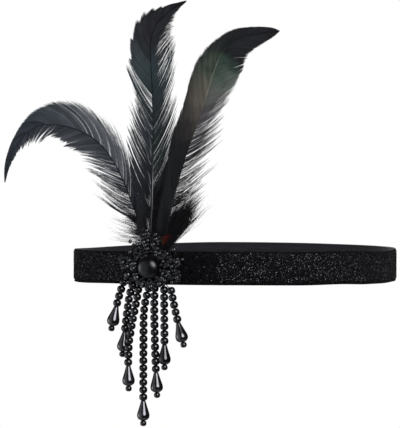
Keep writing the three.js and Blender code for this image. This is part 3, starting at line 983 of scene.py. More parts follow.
# A teardrop's outline from its top, as shares of its length and of its width
dropOutline = table(
    "along width",
    (0, 0.37), (0.2, 0.54), (0.45, 0.78), (0.6, 0.93), (0.72, 1), (0.84, 0.95), (0.93, 0.77), (1, 0.42),
)


def straightRead(rows, place, column):
    for a, b in zip(rows, rows[1:]):
        if place <= b["along"]:
            return blend(a[column], b[column], clamp((place - a["along"]) / (b["along"] - a["along"])))
    return rows[-1][column]


def strandLine(strand):
    sizes = strandSizes
    start = rosette["radius"] + strand["drop"] * sizes["pitch"]
    at = Vector((strand["across"] * sizes["pitch"], -sizes["back"], -start))
    leans = table(
        "along lean",
        (0, strand["top"]), (strand["settle"], strand["middle"]), (strand["beads"] - 1, strand["end"]),
    )
    line = []
    for i in range(strand["beads"]):
        lean = math.radians(straightRead(leans, i, "lean"))
        aim = Vector((math.sin(lean), 0, -math.cos(lean)))
        forward = strand["front"] * clamp((i - sizes["hidden"]) / strand["settle"])
        line.append((Vector((at.x, -sizes["back"] - forward * sizes["forward"], at.z)), aim))
        at += aim * sizes["pitch"]
    return line


def makeStrand(number, strand):
    sizes, line = strandSizes, strandLine(strand)
    last, aim = line[-1]
    dropTop = last + aim * (sizes["bead"] / 2 + sizes["gap"])
    stopper = dropTop + aim * (sizes["dropLength"] + sizes["gap"] + sizes["stopper"] / 2)
    rng = random.Random(number)
    rows = [{"at": at, "aim": way, "size": rng.uniform(*sizes["uneven"])} for at, way in line]
    low = stopper + aim * sizes["stopperSag"] * mm
    rows.append({"at": low, "aim": aim, "size": sizes["stopperLook"] / sizes["bead"]})
    beads = grow(
        f"bead_strand_{number}_beads", pointCloud("strand", rows), strungBeads, ornamentPlace,
        Bead=roundBead, BeadRadius=sizes["pitch"] / 2 * sizes["fullness"], SizeSpread=0.01, Seed=number,
        Material=materials["bead"],
    )
    finishPiece(beads, "round_beads", f"bead_strand_{number}")
    first = line[0][0]
    out = Vector((first.x, 0, first.z)).normalized()
    root = out * (rosette["radius"] - sizes["rootDepth"]) + Vector((0, first.y, 0))
    knot = stopper + aim * (sizes["stopper"] / 2 + sizes["thread"])
    path = [root, *(at for at, way in line), dropTop, stopper, knot]
    thread = tubeMesh("thread", path, [sizes["thread"]] * len(path), 6)
    thread.transform(ornamentPlace)
    thread.materials.append(materials["thread"])
    finishPiece(addObject(f"bead_strand_{number}_thread", thread), "round_beads")
    makeDrop(number, dropTop, aim)


def makeDrop(number, top, aim):
    sizes = strandSizes
    bore, steps = sizes["thread"] * sizes["dropBore"], sizes["dropSteps"]
    profile = [(bore, 0)]
    for i in range(steps + 1):
        width = sizes["dropWidth"] / 2 * readTable(dropOutline, i / steps, "width")
        profile.append((width, i / steps * sizes["dropLength"]))
    profile.append((bore, sizes["dropLength"]))
    mesh = turnedMesh("drop", profile, sizes["dropSides"])
    hang = aim.to_track_quat("Z", "Y").to_matrix().to_4x4()
    mesh.transform(ornamentPlace @ Matrix.Translation(top) @ hang)
    mesh.materials.append(materials["dark drop" if number == sizes["darkDrop"] else "drop"])
    finishPiece(addObject(f"teardrop_{number}_body", mesh), "teardrops", f"teardrop_{number}")


for number, strand in enumerate(strands, 1):
    makeStrand(number, strand)
print("strands made")


# The rosette: loops of seed beads sewn on a round felt pad, round a black dome

petals = table(
    "angle reach width aside",
    (10, 1.9, 0.52, 0),
    (44, 1.3, 0.4, 0),
    (90, 1.95, 0.34, 3.6),
    (93, 2.14, 0.34, -1.9),
    (129, 1.62, 0.48, 0),
    (172, 1.74, 0.6, 0),
    (207, 1.62, 0.5, 0),
    (240, 1.2, 0.5, 0),
    (270, 1.15, 0.6, 0),
    (306, 1.25, 0.5, 0),
    (344, 1.9, 0.62, 0),
)


def beadsAlong(path, pitch, size=1.0):
    # one bead every pitch along a path of points
    rows, left = [], 0.0
    for a, b in zip(path, path[1:]):
        span = (b - a).length
        while left <= span:
            rows.append({"at": a.lerp(b, left / span), "aim": (b - a).normalized(), "size": size})
            left += pitch * size
        left -= span
    return rows


loopShape = {"foot": 0.95, "waist": 0.55, "belly": 0.45, "blunt": 0.8, "arch": 0.5 * mm, "steps": 32}


def petalLoop(petal, shrink, depth):
    # out along one side, round the tip and back along the other
    angle = math.radians(petal["angle"])
    out = Vector((math.cos(angle), 0, math.sin(angle)))
    side = Vector((math.sin(angle), 0, -math.cos(angle)))
    start = rosette["collarRadius"] * loopShape["foot"]
    end = petal["reach"] * rosette["radius"] - rosette["seedBead"] / 2
    end = start + (end - start) * shrink
    half = petal["width"] * rosette["radius"] / 2 * shrink
    path = []
    for i in range(loopShape["steps"] + 1):
        t = i / loopShape["steps"]
        along = math.sin(math.pi * t)
        wide = math.sin(2 * math.pi * t) * (loopShape["waist"] + loopShape["belly"] * along)
        far = blend(start, end, along ** loopShape["blunt"])
        at = out * far + side * (half * wide + petal["aside"] * mm)
        path.append(at + Vector((0, -depth - loopShape["arch"] * along, 0)))
    return path


# Rings of beads from the dome outwards and down the pad's side: radius and depth in mm, size
rosetteRings = [
    (8.9, 7.0, 0.95), (10.2, 6.0, 0.95), (10.5, 4.4, 0.95), (10.5, 2.7, 0.95), (10.5, 1.1, 0.95),
]

# The loops of each petal lie nested in layers. Their beads stand off their place by up to tremble and
# off their aim by about aim. count odd beads lie between them, in a fan about each petal's middle.
loops = table("shrink lift", (1.0, 0.0), (0.72, 0.5), (0.42, 1.2))
scatter = {
    "loopSpread": (0.9, 1.04), "tremble": 0.4 * mm, "sizes": (0.8, 1.12), "aim": 0.5,
    "count": 90, "depth": (5.4, 6.8), "start": 9, "radius": 10.5, "short": 2, "fan": 6,
    "oddSizes": (0.8, 1.1), "polished": 0.2, "seed": 31,
}

# Polished beads that catch the light: x, z and depth from the rosette's middle and size across, in mm
sparks = [
    (11.4, -2.2, 7.6, 2.3), (16.4, -5.3, 7.4, 2.5), (15.9, 3.3, 7.5, 2.0), (19.4, 4.9, 6.8, 1.8),
    (-16.2, 2.8, 7.4, 2.4), (-8.6, 2.2, 8.4, 2.2), (-0.8, 10.6, 8.4, 2.4), (4.2, 16.1, 8.2, 2.2),
    (6.4, 8.1, 8.4, 2.0), (6.1, -8.8, 7.8, 2.6), (0.8, -10.4, 7.4, 2.4), (9.0, -7.0, 7.6, 2.0),
    (12.6, 4.8, 7.4, 1.9), (13.2, -8.0, 7.0, 2.0), (-12.0, 14.5, 6.6, 2.0), (-13.1, -4.2, 7.6, 3.6),
    (-9.7, -0.6, 7.8, 3.3), (-7.5, -5.6, 8.0, 3.6), (-11.6, 8.6, 7.4, 2.2), (2.6, 13.0, 8.4, 2.6),
    (-3.2, 14.2, 8.2, 2.4), (14.2, 10.3, 6.2, 2.6), (-2.6, 18.6, 8.0, 2.2), (-13.4, 0.6, 7.6, 2.2),
    (8.2, 3.6, 8.0, 1.9),
]


def tossed(draw, *settings):
    # three random numbers as a direction
    return Vector([draw(*settings) for _ in range(3)])


def growBeads(name, rows, bead, radius, spread, seed, material):
    return grow(
        name, pointCloud(name, rows), strungBeads, ornamentPlace, Bead=bead, BeadRadius=radius,
        SizeSpread=spread, Seed=seed, Material=materials[material],
    )


def sewnBeads(rng):
    # the loops and rings of beads, a little out of line
    rows = []
    for petal in petals:
        for loop in loops:
            depth = rosette["petalDepth"] + loop["lift"] * mm
            path = petalLoop(petal, loop["shrink"] * rng.uniform(*scatter["loopSpread"]), depth)
            rows += beadsAlong(path, rosette["seedPitch"])
    for radius, depth, size in rosetteRings:
        ring = [
            Vector((radius * math.cos(a), -depth, radius * math.sin(a))) * mm
            for a in anglesRound(48, 1)  # back to its start
        ]
        rows += beadsAlong(ring, rosette["seedPitch"], size)[:-1]
    for row in rows:
        row["at"] = row["at"] + Vector([rng.uniform(-1, 1) * scatter["tremble"] for _ in range(3)])
        row["size"] = row["size"] * rng.uniform(*scatter["sizes"])
        row["aim"] = (row["aim"] + tossed(rng.gauss, 0, scatter["aim"])).normalized()
    return rows


def oddBead(rng):
    # somewhere on a petal
    petal = rng.choice(petals)
    angle = math.radians(petal["angle"] + rng.gauss(0, scatter["fan"]))
    out = rng.uniform(scatter["start"], scatter["radius"] * petal["reach"] - scatter["short"])
    at = Vector((
        math.cos(angle) * out + petal["aside"] * math.sin(angle), -rng.uniform(*scatter["depth"]),
        math.sin(angle) * out,
    )) * mm
    aim = tossed(rng.gauss, 0, 1).normalized()
    return {"at": at, "aim": aim, "size": rng.uniform(*scatter["oddSizes"])}


def makeRosette():
    rng = random.Random(scatter["seed"])
    rows = sewnBeads(rng)
    rows += [oddBead(rng) for _ in range(scatter["count"])]
    plain, polished = [], []
    for row in rows:
        (polished if rng.random() < scatter["polished"] else plain).append(row)
    size = rosette["seedBead"]
    beads = growBeads(
        "rosette_beads", plain, bead=seedBead, radius=size / 2, spread=0.06, seed=5, material="seed"
    )
    finishPiece(beads, "seed_beads", "bead_rosette")
    for row in polished:
        row["size"] *= size
    for x, z, depth, width in sparks:
        aim = Vector((rng.gauss(0, 1), rng.gauss(0, 0.3), rng.gauss(0, 1))).normalized()
        polished.append({"at": Vector((x, -depth, z)) * mm, "aim": aim, "size": width * mm})
    beads = growBeads(
        "rosette_sparks", polished, bead=roundBead, radius=0.5, spread=0.02, seed=6, material="spark"
    )
    finishPiece(beads, "seed_beads")


pad = {
    "radius": 10.0 * mm, "rim": 1.0 * mm, "crown": 0.3 * mm, "backEdge": 0.6 * mm, "hole": 0.3 * mm,
    "sides": 64,
}


def makePad():
    radius, crown, hole = pad["radius"], pad["crown"], pad["hole"]
    front, back = rosette["blockDepth"] + pad["rim"], rosette["backDepth"]
    profile = [
        (hole, front), (radius * 0.6, front + crown), (radius * 0.94, front - crown),
        (radius, front - pad["rim"]), (radius, back + pad["backEdge"]), (radius * 0.96, back), (hole, back),
    ]
    mesh = turnedMesh("pad", profile, pad["sides"])
    mesh.transform(ornamentPlace @ Matrix.Rotation(math.pi / 2, 4, "X"))
    mesh.materials.append(materials["felt"])
    finishPiece(addObject("rosette_pad", mesh), "seed_beads")


def makeDome():
    radius, seat = rosette["domeRadius"], rosette["domeSeat"]
    girdle, pole, steps = seat + rosette["domeGirdle"], rosette["domePole"], rosette["domeSteps"]
    profile = [(pole, seat), (radius * 0.97, seat), (radius, seat + rosette["domeBevel"]), (radius, girdle)]
    for i in range(1, steps):
        turn = math.pi * i / (2 * steps)
        high = girdle + (rosette["domeHeight"] - rosette["domeGirdle"]) * math.sin(turn)
        profile.append((radius * math.cos(turn), high))
    profile.append((pole, seat + rosette["domeHeight"]))
    mesh = turnedMesh("dome", profile, rosette["domeSides"], closed=False)
    aside = Matrix.Rotation(math.radians(rosette["domeTurn"]), 4, "Z")
    nod = aside @ Matrix.Rotation(math.radians(rosette["domeNod"]), 4, "X")
    middle = Matrix.Translation((rosette["domeAside"], -girdle, rosette["domeRise"]))
    upright = Matrix.Rotation(math.pi / 2, 4, "X")
    mesh.transform(ornamentPlace @ middle @ nod @ Matrix.Translation((0, girdle, 0)) @ upright)
    mesh.materials.append(materials["dome"])
    finishPiece(addObject("cabochon_dome", mesh), "cabochon", "cabochon")


makeRosette()
makePad()
makeDome()
print("rosette made")


# Feathers

plume = {
    "stations": 28,
    "vaneReach": 14 * mm,
    "vaneCup": 0.06,
    "layer": 1.3 * mm,
    "quill": 1.8 * mm,
    "quillBack": 1.2 * mm,
    "quillDepth": 8.5 * mm,
    "tip": 0.5 * mm,
    "taper": 0.6,
    "clear": 21.9 * mm,  # above the rosette's longest petal the feathers tilt
    "barbWidth": 0.2 * mm,
    "barbThickness": 0.09 * mm,
    "vaneSegments": 12,
    "downSegments": 9,
    "shaftSteps": 150,
    "shaftSides": 10,
    "walk": 0.06 * mm,
    "overlap": 2.4,  # barb widths to each barb's share of a closed vane
    "tipShare": 0.4,  # of a barb's width left at its end
    "frizz": 160.0,
    "start": 0.05,
    "end": 0.9985,
    "firstRoot": 0.03,
    "shortest": 0.35 * mm,
    "spring": 1.3,  # barbs leave the shaft this much more steeply
    "bow": 0.45,  # of a barb's length to its bend
    "gather": 0.9,
    "lockDepth": 0.45,  # mm
    "lockWidths": (0.45, 1.6),
    "streaks": 0.6,  # chance of a new streak at each barb
    "trim": 0.015,
    "foot": 0.02,
    "widths": (0.8, 1.15),
    "downWidths": (0.55, 0.95),
    "tuftSpread": 0.014,
    "downSpread": 0.05,
}

# The shaft's lean is in degrees from upright, and a vane's reach from the shaft in shares of
# vaneReach. Each vane then has rows for its barbs: fill is the share of barbs that are there, and
# above 1 it sets them closer, closed how far out they stay hooked together, angle their way off the
# shaft in degrees, ragged how much their lengths differ, pull how tightly the loose ends gather in
# locks, lock a lock's width in mm and step how far the locks' ends stand in and out. Teeth cut a
# share off a vane's barbs, for a scalloped edge.
vaneColumns = "along fill closed angle ragged pull lock step"
feathers = [
    {
        "name": "feather_left", "length": 157.5 * mm, "across": -0.8, "layer": 0, "tilt": 5.5, "seed": 3,
        "quillLook": 0.9 * mm,
        "shaft": table(
            "along lean",
            (0, -10), (0.06, -18), (0.1, -23), (0.18, -25), (0.27, -24), (0.32, -29), (0.38, -36),
            (0.43, -43), (0.49, -56), (0.55, -70), (0.61, -79), (0.67, -88), (0.71, -101), (0.76, -123),
            (0.81, -139), (0.87, -152), (0.93, -162), (1, -174),
        ),
        "leftReach": table(
            "along reach",
            (0, 0), (0.06, 0.1), (0.1, 0.2), (0.16, 0.3), (0.21, 0.55), (0.27, 1.05), (0.32, 1.35),
            (0.37, 1.36), (0.41, 1.15), (0.46, 1.1), (0.52, 1.04), (0.6, 0.9), (0.65, 0.62), (0.69, 0.5),
            (0.73, 0.56), (0.77, 0.62), (0.83, 0.4), (0.87, 0.24), (0.92, 0.12), (1, 0.02),
        ),
        "rightReach": table(
            "along reach",
            (0, 0), (0.06, 0.15), (0.1, 0.32), (0.14, 0.45), (0.18, 0.55), (0.22, 0.6), (0.32, 0.72),
            (0.4, 0.86), (0.46, 0.95), (0.54, 1), (0.61, 1.06), (0.65, 1.02), (0.69, 0.93), (0.71, 0.83),
            (0.75, 0.66), (0.79, 0.46), (0.83, 0.34), (0.88, 0.25), (0.94, 0.16), (1, 0.02),
        ),
        "left": table(
            vaneColumns,
            (0.05, 0.6, 0.2, 60, 0.7, 0.5, 0.8, 0.3),
            (0.22, 0.6, 0.3, 44, 0.5, 0.6, 1, 0.3),
            (0.34, 0.8, 0.42, 37, 0.35, 0.75, 1.6, 0.25),
            (0.5, 0.88, 0.5, 33, 0.3, 0.8, 2.0, 0.25),
            (0.58, 0.97, 0.75, 31, 0.15, 0.7, 2.6, 0.15),
            (0.66, 1, 0.85, 31, 0.1, 0.5, 2, 0.12),
            (0.72, 0.95, 0.55, 30, 0.3, 0.6, 1.2, 0.2),
            (0.86, 1, 0.6, 26, 0.3, 0.6, 1, 0.2),
            (1, 1, 1, 16, 0, 0, 1, 0),
        ),
        "right": table(
            vaneColumns,
            (0.05, 1, 0.85, 26, 0.5, 0.2, 1, 0.15),
            (0.2, 0.95, 0.7, 24, 0.5, 0.3, 1, 0.15),
            (0.28, 0.9, 0.45, 22, 0.6, 0.4, 0.8, 0.2),
            (0.4, 0.86, 0.36, 22, 0.7, 0.5, 0.9, 0.2),
            (0.5, 0.84, 0.36, 23, 0.7, 0.5, 0.9, 0.15),
            (0.58, 0.86, 0.44, 26, 0.4, 0.4, 1.1, 0.1),
            (0.65, 0.95, 0.72, 29, 0.2, 0.3, 2, 0.05),
            (0.76, 1, 1, 27, 0.05, 0, 3, 0.03),
            (1, 1, 1, 16, 0, 0, 2, 0),
        ),
    },
    {
        "name": "feather_centre", "length": 156.5 * mm, "across": -0.85, "layer": 1, "tilt": 1.5, "seed": 8,
        "quillLook": 0.46 * mm,
        "shaft": table(
            "along lean",
            (0, 0), (0.06, 2), (0.15, 3), (0.24, 0.6), (0.36, 0), (0.48, -1.5), (0.57, -2.5), (0.66, -4),
            (0.71, -4), (0.76, 2), (0.81, 18), (0.86, 44), (0.92, 58), (1, 66),
        ),
        "leftReach": table(
            "along reach",
            (0, 0), (0.06, 0.3), (0.1, 0.5), (0.15, 0.7), (0.24, 0.82), (0.36, 1.05), (0.48, 1.15),
            (0.57, 1), (0.62, 0.86), (0.68, 0.95), (0.712, 1.1), (0.735, 0.97), (0.77, 0.93), (0.82, 0.9),
            (0.86, 0.8), (0.9, 0.5), (0.95, 0.2), (1, 0.02),
        ),
        "leftTeeth": table(
            "along cut",
            (0, 0), (0.738, 0), (0.75, 0.1), (0.775, 0.03), (0.797, 0), (0.807, 0.1), (0.83, 0.03),
            (0.845, 0), (0.855, 0.1), (0.866, 0.01), (0.875, 0.11), (0.892, 0.02), (0.9, 0.12),
            (0.915, 0.02), (0.923, 0.1), (0.95, 0), (1, 0),
        ),
        "rightReach": table(
            "along reach",
            (0, 0), (0.06, 0.3), (0.15, 0.6), (0.24, 0.68), (0.36, 0.76), (0.48, 0.9), (0.57, 1.03),
            (0.66, 1), (0.8, 1.04), (0.85, 0.92), (0.89, 0.74), (0.93, 0.35), (0.96, 0.15), (1, 0.02),
        ),
        "left": table(
            vaneColumns,
            (0.05, 1.1, 0.95, 28, 0.3, 0.1, 1.2, 0.1),
            (0.2, 1.1, 0.95, 27, 0.3, 0.2, 1.2, 0.12),
            (0.3, 1.15, 0.95, 27, 0.4, 0.3, 1.2, 0.12),
            (0.4, 1.15, 0.88, 28, 0.4, 0.4, 1.2, 0.15),
            (0.5, 1.1, 0.75, 30, 0.45, 0.5, 1.2, 0.2),
            (0.6, 0.95, 0.6, 29, 0.4, 0.7, 1.6, 0.2),
            (0.66, 0.75, 0.5, 28, 0.3, 0.75, 1.6, 0.12),
            (0.69, 0.6, 0.4, 27, 0.15, 0.8, 1.4, 0.06),
            (0.702, 0.65, 0.45, 27, 0.1, 0.8, 1.4, 0.03),
            (0.707, 1.2, 0.85, 27, 0.03, 0.5, 2, 0.02),
            (0.717, 1.2, 0.85, 28, 0.03, 0.5, 2, 0.02),
            (0.721, 0.62, 0.5, 28, 0.15, 0.6, 1, 0.1),
            (0.733, 0.55, 0.4, 31, 0.2, 0.6, 1, 0.05),
            (0.739, 1.15, 0.95, 33, 0.03, 0.1, 8, 0.0),
            (0.77, 1.2, 0.97, 36, 0.03, 0.05, 6, 0.03),
            (0.86, 1.3, 0.97, 36, 0.03, 0.05, 5, 0.03),
            (1, 1, 1, 20, 0, 0, 2, 0.03),
        ),
        "right": table(
            vaneColumns,
            (0.05, 1, 0.95, 22, 0.2, 0.1, 1.2, 0.1),
            (0.38, 1, 0.8, 24, 0.2, 0.1, 1.4, 0.1),
            (0.44, 0.85, 0.55, 25, 0.25, 0.4, 1.2, 0.12),
            (0.52, 0.85, 0.46, 26, 0.3, 0.7, 1.2, 0.15),
            (0.62, 0.95, 0.46, 27, 0.28, 0.85, 1.2, 0.2),
            (0.7, 1, 0.42, 27, 0.25, 0.9, 1.2, 0.2),
            (0.78, 1.1, 0.42, 27, 0.25, 0.9, 1.2, 0.15),
            (0.85, 1.4, 0.45, 26, 0.22, 0.9, 1.2, 0.12),
            (0.92, 1.7, 0.55, 21, 0.15, 0.7, 1.2, 0.06),
            (1, 1, 1, 14, 0, 0, 1, 0),
        ),
    },
    {
        "name": "feather_right", "length": 163 * mm, "across": 2.3, "layer": 2, "tilt": -4.5, "seed": 14,
        "quillLook": 0.8 * mm,
        "shaft": table(
            "along lean",
            (0, 13), (0.06, 14), (0.14, 14), (0.18, 16), (0.24, 17), (0.3, 18), (0.36, 20), (0.45, 24),
            (0.54, 20.5), (0.64, 20), (0.69, 22), (0.74, 31), (0.785, 51), (0.84, 73), (0.9, 82), (1, 89),
        ),
        "leftReach": table(
            "along reach",
            (0, 0), (0.06, 0.35), (0.14, 0.5), (0.23, 0.56), (0.3, 0.62), (0.36, 0.72), (0.44, 0.86),
            (0.54, 0.84), (0.6, 0.87), (0.66, 0.9), (0.71, 0.85), (0.75, 0.7), (0.8, 0.52), (0.86, 0.38),
            (0.91, 0.28), (0.95, 0.21), (0.98, 0.13), (1, 0.01),
        ),
        "rightReach": table(
            "along reach",
            (0, 0), (0.06, 0.15), (0.1, 0.3), (0.14, 0.55), (0.18, 1.0), (0.22, 1.3), (0.27, 1.3),
            (0.31, 1.1), (0.36, 1.25), (0.42, 1.25), (0.48, 1.2), (0.55, 1), (0.6, 0.93), (0.65, 1),
            (0.7, 1.05), (0.75, 1.06), (0.8, 1), (0.85, 0.84), (0.89, 0.64), (0.94, 0.42), (0.98, 0.2),
            (1, 0.01),
        ),
        "left": table(
            vaneColumns,
            (0.05, 1, 1, 16, 0.1, 0, 2.0, 0.08),
            (0.5, 1, 1, 20, 0.03, 0, 3.0, 0.03),
            (0.85, 1, 1, 24, 0.02, 0, 3.0, 0.02),
            (1, 1, 1, 16, 0, 0, 3.0, 0),
        ),
        "right": table(
            vaneColumns,
            (0.05, 0.95, 0.6, 34, 0.5, 0.4, 1, 0.2),
            (0.16, 0.95, 0.6, 38, 0.5, 0.5, 1.2, 0.3),
            (0.21, 0.85, 0.45, 39, 0.5, 0.6, 1.3, 0.3),
            (0.26, 0.62, 0.3, 40, 0.5, 0.75, 1.5, 0.35),
            (0.42, 0.62, 0.32, 37, 0.5, 0.85, 1.8, 0.35),
            (0.52, 0.75, 0.4, 35, 0.5, 0.8, 1.6, 0.25),
            (0.62, 0.95, 0.5, 36, 0.5, 0.5, 1.4, 0.12),
            (0.7, 1.2, 0.75, 38, 0.25, 0.25, 1.6, 0.05),
            (0.76, 1.6, 1, 36, 0.05, 0, 2.5, 0.03),
            (0.86, 1.8, 1, 30, 0.03, 0, 2.5, 0.04),
            (1, 1, 1, 16, 0, 0, 2, 0.02),
        ),
    },
]

# Down and stray barbs grow in tufts: side, first and last root along the shaft, how many tufts and
# hairs in each, lengths in mm, angles off the shaft in degrees, how wavy they are in mm and how thick
tuftColumns = "side roots tufts hairs length angle wave coarse"
downs = {
    "feather_left": table(
        tuftColumns,
        (-1, (0.04, 0.18), 30, 9, (6, 14), (30, 70), 0.8, 1),
        (1, (0.04, 0.2), 26, 9, (5, 11), (5, 35), 0.8, 1),
        (-1, (0.09, 0.13), 6, 5, (20, 26), (62, 72), 0.4, 1),
        (-1, (0.1, 0.3), 16, 5, (14, 22), (46, 62), 0.9, 1),
    ),
    "feather_centre": table(
        tuftColumns,
        (-1, (0.03, 0.24), 44, 9, (6, 14), (8, 45), 0.8, 1),
        (1, (0.03, 0.24), 50, 9, (6, 14), (8, 45), 0.8, 1),
    ),
    "feather_right": table(
        tuftColumns,
        (-1, (0.03, 0.16), 30, 8, (6, 14), (4, 32), 0.8, 1),
        (1, (0.04, 0.11), 80, 13, (13, 25), (3, 31), 1.0, 1.4),
        (1, (0.04, 0.11), 72, 10, (26, 34), (18, 34), 1.1, 1.2),
        (1, (0.03, 0.09), 22, 9, (6, 14), (28, 48), 0.9, 1),
        (1, (0.06, 0.12), 9, 4, (26, 35), (26, 60), 1.1, 1),
        (1, (0.2, 0.42), 10, 6, (17, 25), (32, 46), 0.8, 1),
    ),
}


def shaftPoints(feather):
    at = Vector((
        feather["across"] * plume["quill"], -plume["quillBack"] - feather["layer"] * plume["layer"],
        rosette["radius"] - plume["quillDepth"],
    ))
    step = feather["length"] / plume["stations"]
    points = []
    for i in range(plume["stations"] + 1):
        lean = math.radians(straightRead(feather["shaft"], i / plume["stations"], "lean"))
        points.append(at.copy())
        back = math.tan(math.radians(feather["tilt"])) if at.z > plume["clear"] else 0
        at += Vector((math.sin(lean), back, math.cos(lean))) * step
    return points


def shaftAt(points, along):
    # place and direction on a smooth line through the shaft's points
    last = len(points) - 1
    i = int(clamp(math.floor(along * last), 0, last - 1))
    t = along * last - i
    a, b = points[i], points[i + 1]
    before = points[i - 1] if i else a * 2 - b
    after = points[i + 2] if i + 2 <= last else b * 2 - a
    m, n = (b - before) / 2, (after - a) / 2
    way = (
        a * (6 * t**2 - 6 * t) + m * (3 * t**2 - 4 * t + 1)
        + b * (6 * t - 6 * t**2) + n * (3 * t**2 - 2 * t)
    )
    return onCurve(a, b, m, n, t), way.normalized()


def acrossShaft(way):
    # to the right of the shaft, in the plane of the vane
    return Vector((way.z, 0, -way.x)).normalized()


def offShaft(way, side, angle):
    return way * math.cos(angle) + acrossShaft(way) * side * math.sin(angle)


toneOf = {"lock": 0.3, "streak": 0.3, "own": 0.45}  # what makes one barb lighter than another


def startLock(row, rng):
    width = row["lock"] * mm * rng.uniform(*plume["lockWidths"])
    return {
        "width": width,
        "step": rng.uniform(-1, 0.4) * row["step"],
        "depth": rng.uniform(-1, 1) * plume["lockDepth"] * mm * (0.3 + row["pull"]),
        "tone": rng.random() ** 1.3,
        "streak": 0.5,
        "slide": rng.uniform(-1, 1) * width * 0.4 * row["pull"],
    }


def planVane(feather, points, side, rng):
    # one row for each barb of a vane, from the foot of the feather to its tip
    column = "left" if side < 0 else "right"
    length, rows, teeth = feather["length"], feather[column], feather.get(column + "Teeth")
    plan, along, lock, used, walked, last = [], plume["start"], None, 0.0, 0.0, 0.0
    step = plume["walk"] / length
    while along < plume["end"]:
        along += step
        angle = math.radians(readTable(rows, along, "angle"))
        wide = readTable(feather[column + "Reach"], along, "reach")
        reach = max(plume["shortest"], plume["vaneReach"] * wide)
        root = max(along - reach / math.tan(angle) / length, plume["firstRoot"])
        walked += max(step, root - last) * length
        last = root
        crowd = max(1, readTable(rows, along, "fill"))
        pitch = plume["barbWidth"] / (math.sin(angle) * plume["overlap"] * crowd)
        if walked < pitch:
            continue
        row = {key: readTable(rows, along, key) for key in vaneColumns.split()[1:]}
        if lock is None or used > lock["width"]:
            lock, used = startLock(row, rng), 0.0
        used, walked = used + walked, 0.0
        if rng.random() > row["fill"]:
            continue
        root += plume["foot"] * rng.random() if root <= plume["firstRoot"] else 0
        if rng.random() < plume["streaks"]:
            lock["streak"] = rng.random() ** 1.5
        short = rng.random() ** 1.5 * row["ragged"] * (1 - row["closed"])
        short -= lock["step"] + rng.uniform(-plume["trim"], plume["trim"])
        short += readTable(teeth, along, "cut") if teeth else 0
        foot, footWay = shaftAt(points, root)
        goal = clamp(blend(along, root, short), root + 0.002, 0.9995)
        near, nearWay = shaftAt(points, goal)
        tip = near + acrossShaft(nearWay) * side * reach * (1 - short)
        tip.y += reach * plume["vaneCup"] + rng.uniform(-0.06, 0.06) * mm
        pulled = ((lock["width"] / 2 - used) * row["pull"] * plume["gather"] + lock["slide"]) * nearWay
        pulled.y += lock["depth"]
        way = offShaft(footWay, side, angle * plume["spring"])
        plan.append({
            "at": foot, "bend": foot + way * (tip - foot).length * plume["bow"], "tip": tip,
            "face": Vector((-side * 0.12, -1, 0)).normalized(),
            "drift": pulled, "hooked": clamp(row["closed"], 0, 0.95), "wide": rng.uniform(*plume["widths"]),
            "loose": (0.06 + 0.4 * row["ragged"]) * mm,
            "station": root, "ahead": goal - root, "side": float(side),
            "tone": clamp(toneOf["lock"] * lock["tone"] + toneOf["streak"] * lock["streak"]
                          + toneOf["own"] * rng.random()),
        })
    return plan


def planDown(points, patch, rng):
    # soft wavy barbs that aren't hooked together, in tufts that end in a point
    plan = []
    for _ in range(patch["tufts"]):
        root = rng.uniform(*patch["roots"])
        length = rng.uniform(*patch["length"]) * mm
        angle = math.radians(rng.uniform(*patch["angle"]))
        foot, footWay = shaftAt(points, root)
        aside = acrossShaft(footWay) * patch["side"]
        lift = Vector((0, rng.uniform(-0.1, 0.1), 0))
        end = foot + (footWay * math.cos(angle) + aside * math.sin(angle) + lift) * length
        for _ in range(patch["hairs"]):
            own = max(plume["foot"], root + rng.uniform(-1, 1) * plume["tuftSpread"])
            start, startWay = shaftAt(points, own)
            spread = tossed(rng.gauss, 0, plume["downSpread"]) * length
            tip = start.lerp(end + spread, rng.uniform(0.6, 1.0))
            way = offShaft(startWay, patch["side"], angle * rng.uniform(1.1, 1.5))
            plan.append({
                "at": start, "bend": start + way * (tip - start).length * plume["bow"], "tip": tip,
                "face": Vector((rng.uniform(-0.5, 0.5), -1, 0)).normalized(),
                "drift": Vector((0, 0, 0)), "hooked": 0.1,
                "wide": rng.uniform(*plume["downWidths"]) * patch["coarse"], "loose": patch["wave"] * mm,
                "station": own, "ahead": 0.05, "side": patch["side"] * 0.3, "tone": 0.5 * rng.random(),
            })
    return plan


# A barb's own form: where it thins out, its half width and the powers that make it go limp late
barbForm = {
    "blunt": 0.93, "end": 0.35, "half": 0.58, "thin": 1.5, "limp": 1.6, "frizzLate": 1.2, "frizz": 4.0,
}


